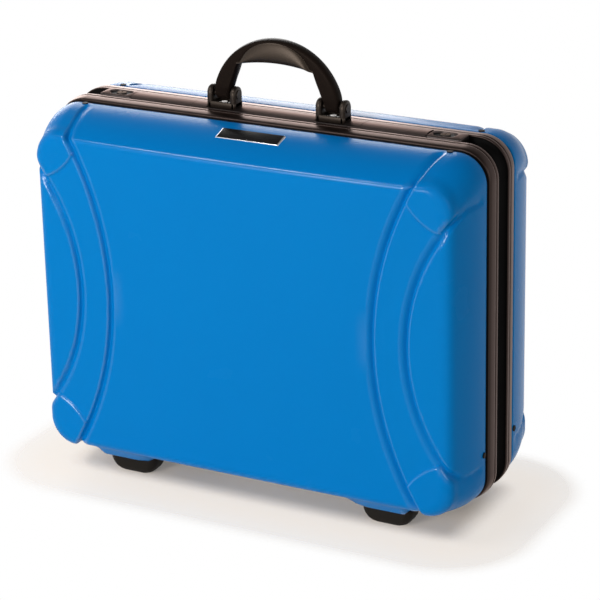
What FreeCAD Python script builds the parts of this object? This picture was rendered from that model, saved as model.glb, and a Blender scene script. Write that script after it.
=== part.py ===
import FreeCAD, Part
import Sketcher
import math
import os
import re

# Twin-shell tool case with an aluminium rim, standing closed on its feet.
# Frame in mm: +X right, -Y front, +Z up, origin on the floor under the middle.
# The back half is the base, and the front half is the lid.

V = FreeCAD.Vector
doc = FreeCAD.newDocument("tool_case")
sheet = doc.addObject("Spreadsheet::Sheet", "sizes")

SIZES = (
    # Outline of both shells at the rim
    ("seam_width", "470"), ("seam_height", "354.5"), ("seam_radius", "29"), ("seam_depth", "64"),
    ("floor_gap", "25"),
    # Rims
    ("lip_rise", "3.1"), ("lip_depth", "5.5"), ("channel_half", "11.5"),
    ("flange_depth", "=seam_depth / 2 - channel_half - lip_depth"), ("line_width", "1"),
    ("line_sink", "0.9"), ("channel_depth", "7.1"), ("rim_inset", "6"), ("skirt_depth", "8"),
    ("skirt_gap", "0.8"), ("parting_gap", "0.2"),
    # Shells
    ("shell_wall", "3.5"), ("face_depth", "64"), ("crown_drop", "8"), ("crown_half", "220"),
    ("waist_depth", "26"), ("tip_depth", "70"), ("side_waist", "2.5"), ("side_tip", "17"),
    ("top_waist", "3"), ("top_tip", "28"), ("bottom_waist", "1"), ("bottom_tip", "12.2"),
    ("tip_radius", "22"), ("edge_round", "5"),
    # Grooves of the shells
    ("groove_width", "9"), ("groove_sink", "2"), ("groove_start", "8"), ("inner_groove_in", "92"),
    ("inner_groove_radius", "320"), ("outer_groove_in", "57"), ("outer_groove_radius", "196"),
    # Feet and the bosses over them
    ("foot_share", "0.3074"), ("foot_length", "52"), ("foot_height", "20.5"), ("foot_y", "54"),
    ("foot_width", "30"), ("foot_round", "7"), ("boss_margin", "4"), ("boss_rise", "20"),
    # Label plate in the lid
    ("label_length", "72"), ("label_width", "16.5"), ("label_thick", "1.4"), ("label_depth", "28.4"),
    ("label_tilt", "17"), ("label_drop", "4.1"), ("fit_gap", "0.1"),
    # Strip over the rim channel
    ("strip_share", "0.1964"), ("strip_front", "10.7"), ("strip_rise", "2.5"), ("strip_crown", "2"),
    ("end_gap", "0.4"), ("lever_share", "0.3442"), ("bezel_share", "0.43"), ("over_cut", "1"),
    # Handle and its brackets
    ("bracket_share", "0.1272"), ("bracket_length", "31.5"), ("bracket_width", "16"), ("bracket_sink", "1.8"),
    ("bracket_floor", "4"), ("ear_thick", "6"), ("pin_height", "13.7"), ("ear_radius", "8"),
    ("pin_radius", "3"), ("run_gap", "0.06"), ("pin_head", "4.6"), ("pin_head_thick", "1"),
    ("leg_width", "17"), ("grip_width", "14"), ("grip_rise", "61"), ("arch_share", "0.15106"),
    ("grip_thick", "25"), ("hand_round", "30"), ("shoulder_round", "18"), ("grip_round", "4"),
    ("core_thick", "4"), ("core_gap", "0.05"), ("core_cover", "5"),
    # Latch levers
    ("barrel_radius", "3.2"), ("barrel_y", "7.4"), ("barrel_drop", "4"), ("lever_thick", "3.4"),
    ("claw_length", "30"), ("claw_thick", "1.4"), ("claw_y", "8.9"), ("claw_reach", "6"),
    ("latch_pin_radius", "1.4"), ("latch_pin_lap", "4"),
    ("keeper_thick", "1"), ("keeper_reach", "5.1"), ("keeper_hook", "1.8"), ("keeper_height", "5"),
    ("keeper_lift", "0.4"),
    # Lock buttons
    ("lock_share", "0.379"), ("oval_length", "25"), ("oval_width", "15"), ("oval_depth", "2"),
    ("button_radius", "5"), ("button_flange", "0.8"), ("button_stroke", "2"), ("stroke_spare", "0.4"),
    ("flange_thick", "1.6"), ("button_proud", "1.2"), ("core_radius", "3"), ("slot_length", "4.4"),
    ("slot_width", "1"), ("slot_depth", "1.6"), ("core_length", "4"),
    # Hinges under the rim
    ("hinge_share", "0.298"), ("hinge_length", "80"), ("knuckle_radius", "2.4"), ("knuckle_gap", "0.4"),
    ("hinge_y", "7.4"), ("hinge_drop", "3.8"), ("hinge_pin_radius", "1.2"), ("base_leaf_thick", "1.1"),
    ("base_leaf_back", "8"), ("lid_leaf_thick", "1.4"), ("lid_leaf_margin", "0.3"), ("tab_half", "1.5"),
    ("leaf_lap", "4.5"),
    # Rivets and screws
    ("rivet_head", "3"), ("rivet_shank", "1.5"), ("rivet_sink", "0.6"), ("rivet_proud", "1"),
    ("rivet_depth", "5.6"), ("rivet_low_in", "54.5"), ("rivet_end_in", "36"),
    ("leaf_rivet_head", "1.8"), ("leaf_rivet_thick", "0.7"), ("leaf_rivet_shank", "0.9"),
    ("leaf_rivet_x", "26"), ("leaf_rivet_y", "3.4"), ("leaf_rivet_long", "2.6"),
    ("screw_head", "4"), ("screw_shank", "2"), ("screw_head_thick", "2.4"), ("screw_long", "26"),
    ("screw_sink", "4"), ("bracket_screw_head", "3"), ("bracket_screw_long", "9"),
    # Tool panel in the lid and dividers in the base
    ("panel_side_in", "21"), ("panel_low_in", "24.5"), ("panel_high_in", "32"), ("panel_thick", "3"),
    ("panel_y", "76"), ("panel_round", "20"), ("post_radius", "6"), ("post_in", "18"),
    ("panel_screw_long", "9"), ("pocket_side_in", "34"), ("pocket_height", "64"),
    ("pocket_depth", "18"), ("pocket_wall", "2"), ("pocket_low_in", "24"), ("pocket_high_in", "72"),
    ("divider_thick", "3"), ("divider_rise", "174.5"), ("divider_x", "88"),
)
NAMES = [name for name, value in SIZES]
for row, (name, value) in enumerate(SIZES, 1):
    sheet.set("A%d" % row, name)
    sheet.set("B%d" % row, value)
    sheet.setAlias("B%d" % row, name)
doc.recompute()

WORD = re.compile(r"\b(" + "|".join(sorted(NAMES, key=len, reverse=True)) + r")\b")


def full(text):
    """Expression in which each sheet name points at the sheet."""
    return WORD.sub(lambda match: "sizes." + match.group(1), str(text))


def value(text):
    """Number that an expression gives now."""
    result = sheet.evalExpression(full(text))
    return float(getattr(result, "Value", result))


# Levels that many pieces share
HALF = "(seam_width / 2)"
TOP = "(floor_gap + seam_height)"
FLOOR_TOP = "(floor_gap + seam_height + lip_rise - channel_depth)"
FLOOR_LOW = "(floor_gap - lip_rise + channel_depth)"
STRIP_TOP = "(floor_gap + seam_height + lip_rise + strip_rise)"
SEAM = "(seam_depth / 2)"
LIP_BACK = "(seam_depth / 2 - flange_depth)"
LIP = "(seam_depth / 2 - flange_depth - lip_depth)"
PIN_Z = "(" + STRIP_TOP + " - bracket_sink + pin_height)"
HINGE_Z = "(" + FLOOR_LOW + " - hinge_drop)"
MIDDLE_Z = "(floor_gap + seam_height / 2)"
GRIP_TOP = "(" + PIN_Z + " + grip_rise)"
HAND_TOP = "(" + PIN_Z + " + grip_rise - grip_thick)"
OVER_STRIP = "(" + STRIP_TOP + " + over_cut)"
DIVIDER_Z = "(floor_gap + divider_rise)"

# Places along the rim, each a share of its width
STRIP_HALF = "(strip_share * seam_width)"
LEVER_END = "(lever_share * seam_width)"
BEZEL_END = "(bezel_share * seam_width)"
LOCK_X = "(lock_share * seam_width)"
BRACKET_X = "(bracket_share * seam_width)"
HINGE_X = "(hinge_share * seam_width)"
FOOT_X = "(foot_share * seam_width)"
GRIP_ARCH = "(arch_share * seam_width)"

# Edges of the panel in the lid
PANEL_HALF = "(seam_width / 2 - panel_side_in)"
PANEL_LOW = "(floor_gap + panel_low_in)"
PANEL_HIGH = "(floor_gap + seam_height - panel_high_in)"
POCKET_HALF = "(" + PANEL_HALF + " - pocket_side_in)"

# Tolerances for picking edges
NEAR = 0.01
STRAIGHT = 0.999


def place(thing, x, y, z, rotation=None):
    """Put an object at three expressions, turned once."""
    if rotation:
        thing.Placement = FreeCAD.Placement(V(0, 0, 0), rotation)
    for axis, text in zip("xyz", (x, y, z)):
        thing.setExpression("Placement.Base." + axis, full(text))
    return thing


def box(name, x_mid, length, y0, y1, z0, z1):
    """Box centred in X, between two Y and two Z levels."""
    thing = doc.addObject("Part::Box", name)
    thing.setExpression("Length", full(length))
    thing.setExpression("Width", full("(%s) - (%s)" % (y1, y0)))
    thing.setExpression("Height", full("(%s) - (%s)" % (z1, z0)))
    return place(thing, "(%s) - (%s) / 2" % (x_mid, length), y0, z0)


def hand_name(hand):
    """Word for a hand."""
    return "right" if hand > 0 else "left"


TURNS = {"X": FreeCAD.Rotation(V(0, 1, 0), 90), "Y": FreeCAD.Rotation(V(1, 0, 0), -90), "Z": None}


def rod(name, axis, x, y, z, radius, length):
    """Cylinder that starts at a point and runs along +X, +Y or +Z."""
    thing = doc.addObject("Part::Cylinder", name)
    thing.setExpression("Radius", full(radius))
    thing.setExpression("Height", full(length))
    return place(thing, x, y, z, TURNS[axis])


def join(name, things):
    """One solid from several that meet."""
    thing = doc.addObject("Part::MultiFuse", name)
    thing.Shapes = things
    return thing


def shared(name, things):
    """What several solids have in common."""
    thing = doc.addObject("Part::MultiCommon", name)
    thing.Shapes = things
    return thing


def cut(name, base, tools):
    """A solid less its tools."""
    thing = doc.addObject("Part::Cut", name)
    thing.Base = base
    thing.Tool = tools[0] if len(tools) == 1 else join(name + "_tools", tools)
    return thing


def group(name, things):
    """Separate solids kept together as one node."""
    thing = doc.addObject("Part::Compound", name)
    thing.Links = things
    return thing


def rounded(name, base, radius, wanted):
    """Round the edges that a test picks."""
    doc.recompute()
    size = value(radius)
    thing = doc.addObject("Part::Fillet", name)
    thing.Base = base
    thing.Edges = [(i, size, size) for i, edge in enumerate(base.Shape.Edges, 1) if wanted(edge)]
    return thing


def along(edge, axis):
    """True for a straight edge that runs along one axis."""
    if not isinstance(edge.Curve, (Part.Line, Part.LineSegment)):
        return False
    return abs(getattr(edge.tangentAt(edge.FirstParameter), axis)) > STRAIGHT


def outline(name, y, half_width, low, high, radius):
    """Rounded rectangle that faces -Y, as a sketch held by its sizes."""
    sketch = doc.addObject("Sketcher::SketchObject", name)
    place(sketch, "0", y, "0", FreeCAD.Rotation(V(1, 0, 0), 90))
    w, a, b, r = value(half_width), value(low), value(high), value(radius)
    corners = ((w, a, -1, 1), (w, b, -1, -1), (-w, b, 1, -1), (-w, a, 1, 1))
    quarters = (3, 0, 1, 2)
    ends = []
    for (x, z, sx, sz), quarter in zip(corners, quarters):
        circle = Part.Circle(V(x + sx * r, z + sz * r, 0), V(0, 0, 1), r)
        first = quarter * math.pi / 2
        ends.append(Part.ArcOfCircle(circle, first, first + math.pi / 2))
    lines = (
        Part.LineSegment(V(-w + r, a, 0), V(w - r, a, 0)), Part.LineSegment(V(w, a + r, 0), V(w, b - r, 0)),
        Part.LineSegment(V(w - r, b, 0), V(-w + r, b, 0)), Part.LineSegment(V(-w, b - r, 0), V(-w, a + r, 0)))
    for i in range(4):
        sketch.addGeometry(lines[i], False)
        sketch.addGeometry(ends[i], False)
    hold = [Sketcher.Constraint("Tangent", 2 * i, 2, 2 * i + 1, 1) for i in range(4)]
    hold += [Sketcher.Constraint("Tangent", 2 * i + 1, 2, (2 * i + 2) % 8, 1) for i in range(4)]
    hold += [Sketcher.Constraint("Horizontal", 0), Sketcher.Constraint("Vertical", 2)]
    hold += [Sketcher.Constraint("Horizontal", 4), Sketcher.Constraint("Vertical", 6)]
    hold += [Sketcher.Constraint("Equal", 1, i) for i in (3, 5, 7)]
    sketch.addConstraint(hold)
    sized = (("right", Sketcher.Constraint("DistanceX", -1, 1, 2, 1, w), half_width),
             ("left", Sketcher.Constraint("DistanceX", 6, 1, -1, 1, w), half_width),
             ("low", Sketcher.Constraint("DistanceY", -1, 1, 0, 1, a), low),
             ("high", Sketcher.Constraint("DistanceY", -1, 1, 4, 1, b), high),
             ("bend", Sketcher.Constraint("Radius", 1, r), radius))
    for label, constraint, text in sized:
        sketch.renameConstraint(sketch.addConstraint(constraint), label)
        sketch.setExpression("Constraints." + label, full(text))
    return sketch


def rim_outline(name, y, rise):
    """Rim outline that stands out from the seam by a rise."""
    return outline(name, y, HALF + " + " + rise, "floor_gap - (%s)" % rise, TOP + " + " + rise,
                   "seam_radius + " + rise)


def slab(name, sketch, length):
    """Straight solid from an outline towards +Y."""
    thing = doc.addObject("Part::Extrusion", name)
    thing.Base = sketch
    thing.DirMode = "Custom"
    thing.Dir = V(0, 1, 0)
    thing.Solid = True
    thing.setExpression("LengthFwd", full(length))
    return thing


def loft(name, sketches, flat):
    """Solid through several outlines."""
    thing = doc.addObject("Part::Loft", name)
    thing.Sections = sketches
    thing.Solid = True
    thing.Ruled = flat
    return thing


# Shells
def shell_form(name, side, inset):
    """Solid bounded by a shell's outer face, shrunk by an inset."""
    levels = (("seam", "0", "0", "0", "0", "seam_radius"),
              ("waist", "waist_depth", "side_waist", "top_waist", "bottom_waist", "seam_radius"),
              ("tip", "tip_depth", "side_tip", "top_tip", "bottom_tip", "tip_radius"))
    sections = []
    for label, depth, in_side, in_top, in_low, radius in levels:
        sections.append(outline(
            name + "_" + label, "%d * (%s + %s)" % (side, SEAM, depth),
            "%s - %s - (%s)" % (HALF, in_side, inset), "floor_gap + %s + (%s)" % (in_low, inset),
            "%s - %s - (%s)" % (TOP, in_top, inset), "%s - (%s)" % (radius, inset)))
    bend = "((crown_half * crown_half + crown_drop * crown_drop) / (2 * crown_drop))"
    crown = rod(name + "_crown", "Z", "0", "%d * (%s + face_depth - %s)" % (side, SEAM, bend), "0",
                bend + " - (%s)" % inset, TOP + " * 2")
    return shared(name, [loft(name + "_loft", sections, False), crown])


def on_face(edge, level):
    """True for an edge that lies past a depth from the middle."""
    points = [edge.valueAt(edge.FirstParameter), edge.valueAt(edge.LastParameter)]
    return all(abs(point.y) > level for point in points)


def groove_bands(name, side):
    """Curved bands through the shell, two on each hand."""
    bands = []
    for hand in (-1, 1):
        for label in ("inner", "outer"):
            radius = label + "_groove_radius"
            middle = "%d * (%s - %s_groove_in + %s)" % (hand, HALF, label, radius)
            start = SEAM + " + groove_start" if side > 0 else "-(%s + tip_depth)" % SEAM
            tag = "%s_%s_%s" % (name, label, hand_name(hand))
            wide = rod(tag + "_wide", "Y", middle, start, MIDDLE_Z, radius + " + groove_width / 2",
                       "tip_depth - groove_start")
            core = rod(tag + "_core", "Y", middle, start, MIDDLE_Z, radius + " - groove_width / 2",
                       "tip_depth - groove_start")
            bands.append(cut(tag, wide, [core]))
    return bands


def feet_bosses(name, side):
    """Moulded blocks over the feet."""
    blocks = []
    for hand in (-1, 1):
        y_mid = "%d * foot_y" % side
        half = "(foot_width / 2 + boss_margin / 2)"
        blocks.append(box("%s_%s" % (name, hand_name(hand)), "%d * %s" % (hand, FOOT_X),
                          "foot_length + boss_margin", "%s - %s" % (y_mid, half), "%s + %s" % (y_mid, half),
                          "foot_height", "foot_height + boss_rise"))
    return blocks


def screw_rods(name, side, radius, start, length):
    """Upright rods at the two feet of one half."""
    return [rod("%s_%s" % (name, hand_name(hand)), "Z", "%d * %s" % (hand, FOOT_X), "%d * foot_y" % side,
                start, radius, length) for hand in (-1, 1)]


def rivet_spots(side):
    """Where the shell rivets sit, as an axis, a hand and the point on the seam outline."""
    y = "%d * (%s + skirt_depth / 2)" % (side, SEAM)
    spots = []
    for hand in (-1, 1):
        spots.append(("X", hand, "%d * %s" % (hand, HALF), y, "floor_gap + rivet_low_in"))
        spots.append(("Z", 1, "%d * (%s - rivet_end_in)" % (hand, HALF), y, TOP))
        spots.append(("Z", -1, "%d * (%s - rivet_end_in)" % (hand, HALF), y, "floor_gap"))
    return spots


def rivet_rods(name, side, radius, inward, outward):
    """Short rods across the seam outline at every rivet."""
    rods = []
    for i, (axis, hand, x, y, z) in enumerate(rivet_spots(side), 1):
        back = inward if hand > 0 else outward
        x0 = "%s - (%s)" % (x, back) if axis == "X" else x
        z0 = "%s - (%s)" % (z, back) if axis == "Z" else z
        rods.append(rod("%s_%d" % (name, i), axis, x0, y, z0, radius, "(%s) + (%s)" % (inward, outward)))
    return rods


def label_block(name, margin, depth):
    """Block that lies in the sloping top of the lid."""
    block = box(name + "_block", "0", "label_length + 2 * (%s)" % margin, "-(label_width / 2 + %s)" % margin,
                "label_width / 2 + %s" % margin, "-(%s)" % depth, "label_thick - (%s)" % depth)
    turned = group(name, [block])
    place(turned, "0", "-(%s + label_depth)" % SEAM, TOP + " - label_drop", FreeCAD.Rotation(V(1, 0, 0), 0))
    turned.setExpression("Placement.Rotation.Axis.x", "1")
    turned.setExpression("Placement.Rotation.Axis.z", "0")
    turned.setExpression("Placement.Rotation.Angle", full("label_tilt"))
    return turned


def shell(name, side, inner):
    """One moulded shell with its grooves, bosses and fixing holes."""
    form = shell_form(name + "_form", side, "0")
    limit = value("%s + face_depth - crown_drop - edge_round" % SEAM)
    outer = rounded(name + "_outer", form, "edge_round", lambda edge: on_face(edge, limit))
    floor = shell_form(name + "_groove_form", side, "groove_sink")
    bands = join(name + "_bands", groove_bands(name + "_band", side))
    grooves = cut(name + "_grooves", bands, [floor])
    blank = join(name + "_blank", [outer] + feet_bosses(name + "_boss", side))
    tools = [inner, grooves]
    tools += rivet_rods(name + "_spot", side, "rivet_head", "rivet_sink", "rivet_proud + lip_rise")
    tools += rivet_rods(name + "_bore", side, "rivet_shank", "rivet_depth", "rivet_sink")
    tools += screw_rods(name + "_screw_bore", side, "screw_shank", "0", "screw_sink + screw_long")
    if side < 0:
        tools.append(label_block("label_pocket", "fit_gap", "label_thick"))
        posts = [rod("%s_post_%d" % (name, i), "Y", x, "-(%s + face_depth)" % SEAM, z, "post_radius",
                     "%s + face_depth - panel_y - panel_thick" % SEAM) for i, (x, z) in enumerate(POSTS, 1)]
        held = shared(name + "_posts", [join(name + "_post_set", posts), form])
        bores = [rod("%s_post_bore_%d" % (name, i), "Y", x, "-(panel_y + panel_screw_long)", z, "screw_shank",
                     "panel_screw_long") for i, (x, z) in enumerate(POSTS, 1)]
        hollow = cut(name + "_hollow", blank, tools)
        return cut(name, join(name + "_with_posts", [hollow, held]), bores)
    return cut(name, blank, tools)


POSTS = [("%d * (%s - post_in)" % (hand, PANEL_HALF), level) for hand in (-1, 1)
         for level in (PANEL_LOW + " + post_in", PANEL_HIGH + " - post_in")]
lid_inner = shell_form("lid_inner", -1, "shell_wall")
base_inner = shell_form("base_inner", 1, "shell_wall")
front_shell = shell("front_shell", -1, lid_inner)
back_shell = shell("back_shell", 1, base_inner)


# Rims
def rim(name, side):
    """Rolled rim with a flange, a shadow line, a lip and a skirt inside the shell."""
    def span(y0, y1):
        low, high = ("%s" % y0, "%s" % y1) if side > 0 else ("-(%s)" % y1, "-(%s)" % y0)
        return low, "(%s) - (%s)" % (y1, y0)

    flange = loft(name + "_flange", [
        rim_outline(name + "_seam", "%d * %s" % (side, SEAM), "0"),
        rim_outline(name + "_edge", "%d * %s" % (side, LIP_BACK), "lip_rise")], True)
    y, long = span(LIP_BACK + " - line_width", LIP_BACK)
    line = slab(name + "_line", rim_outline(name + "_line_edge", y, "(lip_rise - line_sink)"), long)
    y, long = span(LIP, LIP_BACK + " - line_width")
    lip = slab(name + "_lip", rim_outline(name + "_lip_edge", y, "lip_rise"), long)
    y, long = span(SEAM, SEAM + " + skirt_depth")
    skirt = slab(name + "_skirt", rim_outline(name + "_skirt_edge", y, "(-shell_wall - skirt_gap)"), long)
    parts = [flange, line, lip, skirt]
    if side > 0:
        length = LIP + " * 2 - parting_gap"
        edge = rim_outline(name + "_floor_edge", "-%s + parting_gap" % LIP, "(lip_rise - channel_depth)")
        parts.append(slab(name + "_floor", edge, length))
    y, long = span("-seam_depth", "seam_depth")
    bore = slab(name + "_bore", rim_outline(name + "_bore_edge", y, "(-rim_inset)"), long)
    tools = [bore] + rivet_rods(name + "_rivet_bore", side, "rivet_shank", "rivet_depth + rim_inset", "0")
    return join(name + "_ring", parts), tools


# Strip, lock bezels and latch levers share one rounded top
def crown_rod(name, x_mid, length):
    """Long rod whose top is the strip's rounded top."""
    bend = "((strip_front * strip_front + strip_crown * strip_crown) / (2 * strip_crown))"
    return rod(name, "X", "(%s) - (%s) / 2" % (x_mid, length), "0", STRIP_TOP + " - " + bend, bend, length)


def strip_block(name, x_mid, length, y0, y1, z0):
    """Length of strip section between two Y levels."""
    blank = box(name + "_box", x_mid, length, y0, y1, z0, OVER_STRIP)
    return shared(name, [blank, crown_rod(name + "_crown", x_mid, length)])


BARREL_Z = "(" + STRIP_TOP + " - barrel_drop)"
LEVER_MID = "((%s + end_gap + %s) / 2)" % (STRIP_HALF, LEVER_END)
LEVER_LONG = "(%s - %s - end_gap)" % (LEVER_END, STRIP_HALF)
BEZEL_MID = "((%s + end_gap + %s) / 2)" % (LEVER_END, BEZEL_END)
BEZEL_LONG = "(%s - %s - end_gap)" % (BEZEL_END, LEVER_END)


def latch_rod(name, hand, radius, extra):
    """Rod on a latch lever's hinge line."""
    long = LEVER_LONG + " + 2 * (end_gap + %s)" % extra
    return rod(name, "X", "%d * %s - (%s) / 2" % (hand, LEVER_MID, long), "barrel_y", BARREL_Z, radius, long)


strip_blank = strip_block("strip_blank", "0", "2 * " + STRIP_HALF, "-strip_front", "strip_front", FLOOR_TOP)
seat_tools = []
screw_bores = []
for hand in (-1, 1):
    tag = hand_name(hand)
    middle = "%d * %s" % (hand, BRACKET_X)
    seat_tools.append(box("seat_" + tag, middle, "bracket_length + 2 * fit_gap", "-seam_depth", "seam_depth",
                          STRIP_TOP + " - bracket_sink", OVER_STRIP))
    seat_tools.append(latch_rod("strip_pin_bore_" + tag, hand, "latch_pin_radius", "latch_pin_lap"))
    screw_bores.append(rod("strip_screw_bore_" + tag, "Z", middle, "0",
                           STRIP_TOP + " - bracket_sink + bracket_floor - bracket_screw_long", "screw_shank",
                           "bracket_screw_long"))
top_strip = cut("top_strip", strip_blank, seat_tools + screw_bores)


def oval(name, hand, z0, z1):
    """Upright oval block for the finger recess."""
    end = "(oval_length - oval_width) / 2"
    ends = [rod("%s_%d" % (name, i), "Z", "%d * %s + %d * %s" % (hand, LOCK_X, i, end), "0", z0,
                "oval_width / 2", "(%s) - (%s)" % (z1, z0)) for i in (-1, 1)]
    middle = box(name + "_mid", "%d * %s" % (hand, LOCK_X), "oval_length - oval_width", "-oval_width / 2",
                 "oval_width / 2", z0, z1)
    return join(name, ends + [middle])


OVAL_Z = "(" + STRIP_TOP + " - oval_depth)"
BUTTON_LOW = "(" + FLOOR_TOP + " + button_stroke + stroke_spare)"
bezels, levers, latch_pins, buttons, cores, keepers = [], [], [], [], [], []
for hand in (-1, 1):
    side_word = hand_name(hand)
    lock = "%d * %s" % (hand, LOCK_X)
    # Lock bezel with an oval finger recess and a stepped bore
    blank = strip_block("bezel_blank_" + side_word, "%d * %s" % (hand, BEZEL_MID), BEZEL_LONG, "-strip_front",
                        "strip_front", FLOOR_TOP)
    bezels.append(cut("lock_bezel_" + side_word, blank, [
        oval("oval_" + side_word, hand, OVAL_Z, OVER_STRIP),
        rod("bezel_bore_" + side_word, "Z", lock, "0", FLOOR_TOP, "button_radius + run_gap", STRIP_TOP),
        rod("bezel_step_" + side_word, "Z", lock, "0", FLOOR_TOP, "button_radius + button_flange + run_gap",
            "button_stroke + stroke_spare + flange_thick"),
        latch_rod("bezel_pin_bore_" + side_word, hand, "latch_pin_radius", "latch_pin_lap")]))
    # Push button with a flange that holds it in
    button_top = OVAL_Z + " + button_proud"
    button = join("button_blank_" + side_word, [
        rod("button_stem_" + side_word, "Z", lock, "0", BUTTON_LOW, "button_radius",
            "%s - %s" % (button_top, BUTTON_LOW)),
        rod("button_rim_" + side_word, "Z", lock, "0", BUTTON_LOW, "button_radius + button_flange - run_gap",
            "flange_thick")])
    buttons.append(cut("lock_button_" + side_word, button, [
        rod("button_bore_" + side_word, "Z", lock, "0", button_top + " - core_length",
            "core_radius + run_gap", "core_length")]))
    # Key core with a slot
    core = rod("core_blank_" + side_word, "Z", lock, "0", button_top + " - core_length", "core_radius",
               "core_length")
    slot = box("core_slot_" + side_word, lock, "slot_width", "-slot_length / 2", "slot_length / 2",
               button_top + " - slot_depth", button_top + " + over_cut")
    cores.append(cut("lock_core_" + side_word, core, [slot]))
    # Latch lever: a curved plate with a hinge barrel and a claw
    plate = strip_block("lever_plate_" + side_word, "%d * %s" % (hand, LEVER_MID), LEVER_LONG, "-strip_front",
                        "barrel_y", STRIP_TOP + " - lever_thick")
    barrel = rod("lever_barrel_" + side_word, "X", "%d * %s - %s / 2" % (hand, LEVER_MID, LEVER_LONG),
                 "barrel_y", BARREL_Z, "barrel_radius", LEVER_LONG)
    claw = box("lever_claw_" + side_word, "%d * %s" % (hand, LEVER_MID), "claw_length",
               "-claw_y - claw_thick / 2", "-claw_y + claw_thick / 2", STRIP_TOP + " - claw_reach",
               STRIP_TOP + " - lever_thick / 2")
    lever = join("lever_blank_" + side_word, [plate, barrel, claw])
    levers.append(cut("latch_lever_" + side_word, lever, [
        latch_rod("lever_bore_" + side_word, hand, "latch_pin_radius + run_gap", "latch_pin_lap")]))
    latch_pins.append(latch_rod("latch_pin_" + side_word, hand, "latch_pin_radius", "latch_pin_lap"))
    # Keeper on the lid rim, an angle with a raised edge
    low = FLOOR_TOP + " + keeper_lift"
    keepers.append(join("latch_keeper_" + side_word, [
        box("keeper_plate_" + side_word, "%d * %s" % (hand, LEVER_MID), "claw_length", "-" + LIP,
            "-%s + keeper_thick" % LIP, low, low + " + keeper_height"),
        box("keeper_floor_" + side_word, "%d * %s" % (hand, LEVER_MID), "claw_length", "-" + LIP,
            "-%s + keeper_reach" % LIP, low, low + " + keeper_thick"),
        box("keeper_edge_" + side_word, "%d * %s" % (hand, LEVER_MID), "claw_length",
            "-%s + keeper_reach - keeper_thick" % LIP, "-%s + keeper_reach" % LIP, low,
            low + " + keeper_thick + keeper_hook")]))


# Handle brackets, pins and screws
def handle_bracket(hand):
    """Clevis with two round-topped ears."""
    tag = hand_name(hand)
    low = STRIP_TOP + " - bracket_sink"
    middle = "%d * %s" % (hand, BRACKET_X)
    pieces = [box("bracket_floor_" + tag, middle, "bracket_length", "-bracket_width / 2", "bracket_width / 2",
                  low, low + " + bracket_floor")]
    for end in (-1, 1):
        ear = "%s + %d * (bracket_length - ear_thick) / 2" % (middle, end)
        pieces.append(box("ear_%s_%d" % (tag, end + 2), ear, "ear_thick", "-bracket_width / 2",
                          "bracket_width / 2", low, PIN_Z))
        pieces.append(rod("ear_top_%s_%d" % (tag, end + 2), "X", ear + " - ear_thick / 2", "0", PIN_Z,
                          "ear_radius", "ear_thick"))
    long = "bracket_length"
    bore = rod("bracket_bore_" + tag, "X", "%s - %s / 2" % (middle, long), "0", PIN_Z, "pin_radius", long)
    screw = rod("bracket_screw_bore_" + tag, "Z", middle, "0", low, "screw_shank", "bracket_floor")
    return cut("handle_bracket_" + tag, join("bracket_blank_" + tag, pieces), [bore, screw])


def handle_pin(hand):
    """Pin through both ears with a round head at each end."""
    tag = hand_name(hand)
    start = "%d * %s - bracket_length / 2" % (hand, BRACKET_X)
    stem = rod("pin_stem_" + tag, "X", start, "0", PIN_Z, "pin_radius", "bracket_length")
    heads = [rod("pin_head_%s_1" % tag, "X", start + " - pin_head_thick", "0", PIN_Z, "pin_head",
                 "pin_head_thick"),
             rod("pin_head_%s_2" % tag, "X", start + " + bracket_length", "0", PIN_Z, "pin_head",
                 "pin_head_thick")]
    return join("handle_pin_" + tag, [stem] + heads)


handle_brackets = [handle_bracket(hand) for hand in (-1, 1)]
handle_pins = [handle_pin(hand) for hand in (-1, 1)]
bracket_screws = []
for hand in (-1, 1):
    tag = hand_name(hand)
    middle = "%d * %s" % (hand, BRACKET_X)
    seat = STRIP_TOP + " - bracket_sink + bracket_floor"
    bracket_screws.append(join("bracket_screw_" + tag, [
        rod("bracket_screw_head_" + tag, "Z", middle, "0", seat, "bracket_screw_head",
            "screw_head_thick / 2"),
        rod("bracket_screw_stem_" + tag, "Z", middle, "0", seat + " - bracket_screw_long", "screw_shank",
            "bracket_screw_long")]))
bracket_screw_set = group("bracket_screws", bracket_screws)

# Handle grip: an arch with a hand hole, hung on both pins
LEG_OUT = "(%s + leg_width / 2)" % BRACKET_X
LEG_IN = "(%s - leg_width / 2)" % BRACKET_X
arch = shared("grip_arch_form", [
    box("grip_block", "0", "2 * " + LEG_OUT, "-grip_width / 2", "grip_width / 2", PIN_Z,
        GRIP_TOP + " + over_cut"),
    rod("grip_arc", "Y", "0", "-grip_width / 2", GRIP_TOP + " - " + GRIP_ARCH, GRIP_ARCH, "grip_width")])
shoulders = rounded("grip_shoulders", arch, "shoulder_round",
                    lambda edge: along(edge, "y") and edge.CenterOfMass.z > value(PIN_Z) + NEAR)


def on_arch(edge):
    """True for the two long arcs over the grip."""
    return isinstance(edge.Curve, Part.Circle) and abs(edge.Curve.Radius - value(GRIP_ARCH)) < NEAR


grip_soft = rounded("grip_soft", shoulders, "grip_round", on_arch)


def hand_space(name, margin):
    """Space for the hand, round at its upper corners and wider by a margin."""
    top = "(%s + %s)" % (HAND_TOP, margin)
    wide = "2 * (%s + %s)" % (LEG_IN, margin)
    block = box(name + "_block", "0", wide, "-grip_width", "grip_width", STRIP_TOP, top)
    return rounded(name, block, "hand_round + " + margin,
                   lambda edge: along(edge, "y") and edge.CenterOfMass.z > value(top) - NEAR)


hole = hand_space("hand_hole", "0")


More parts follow.
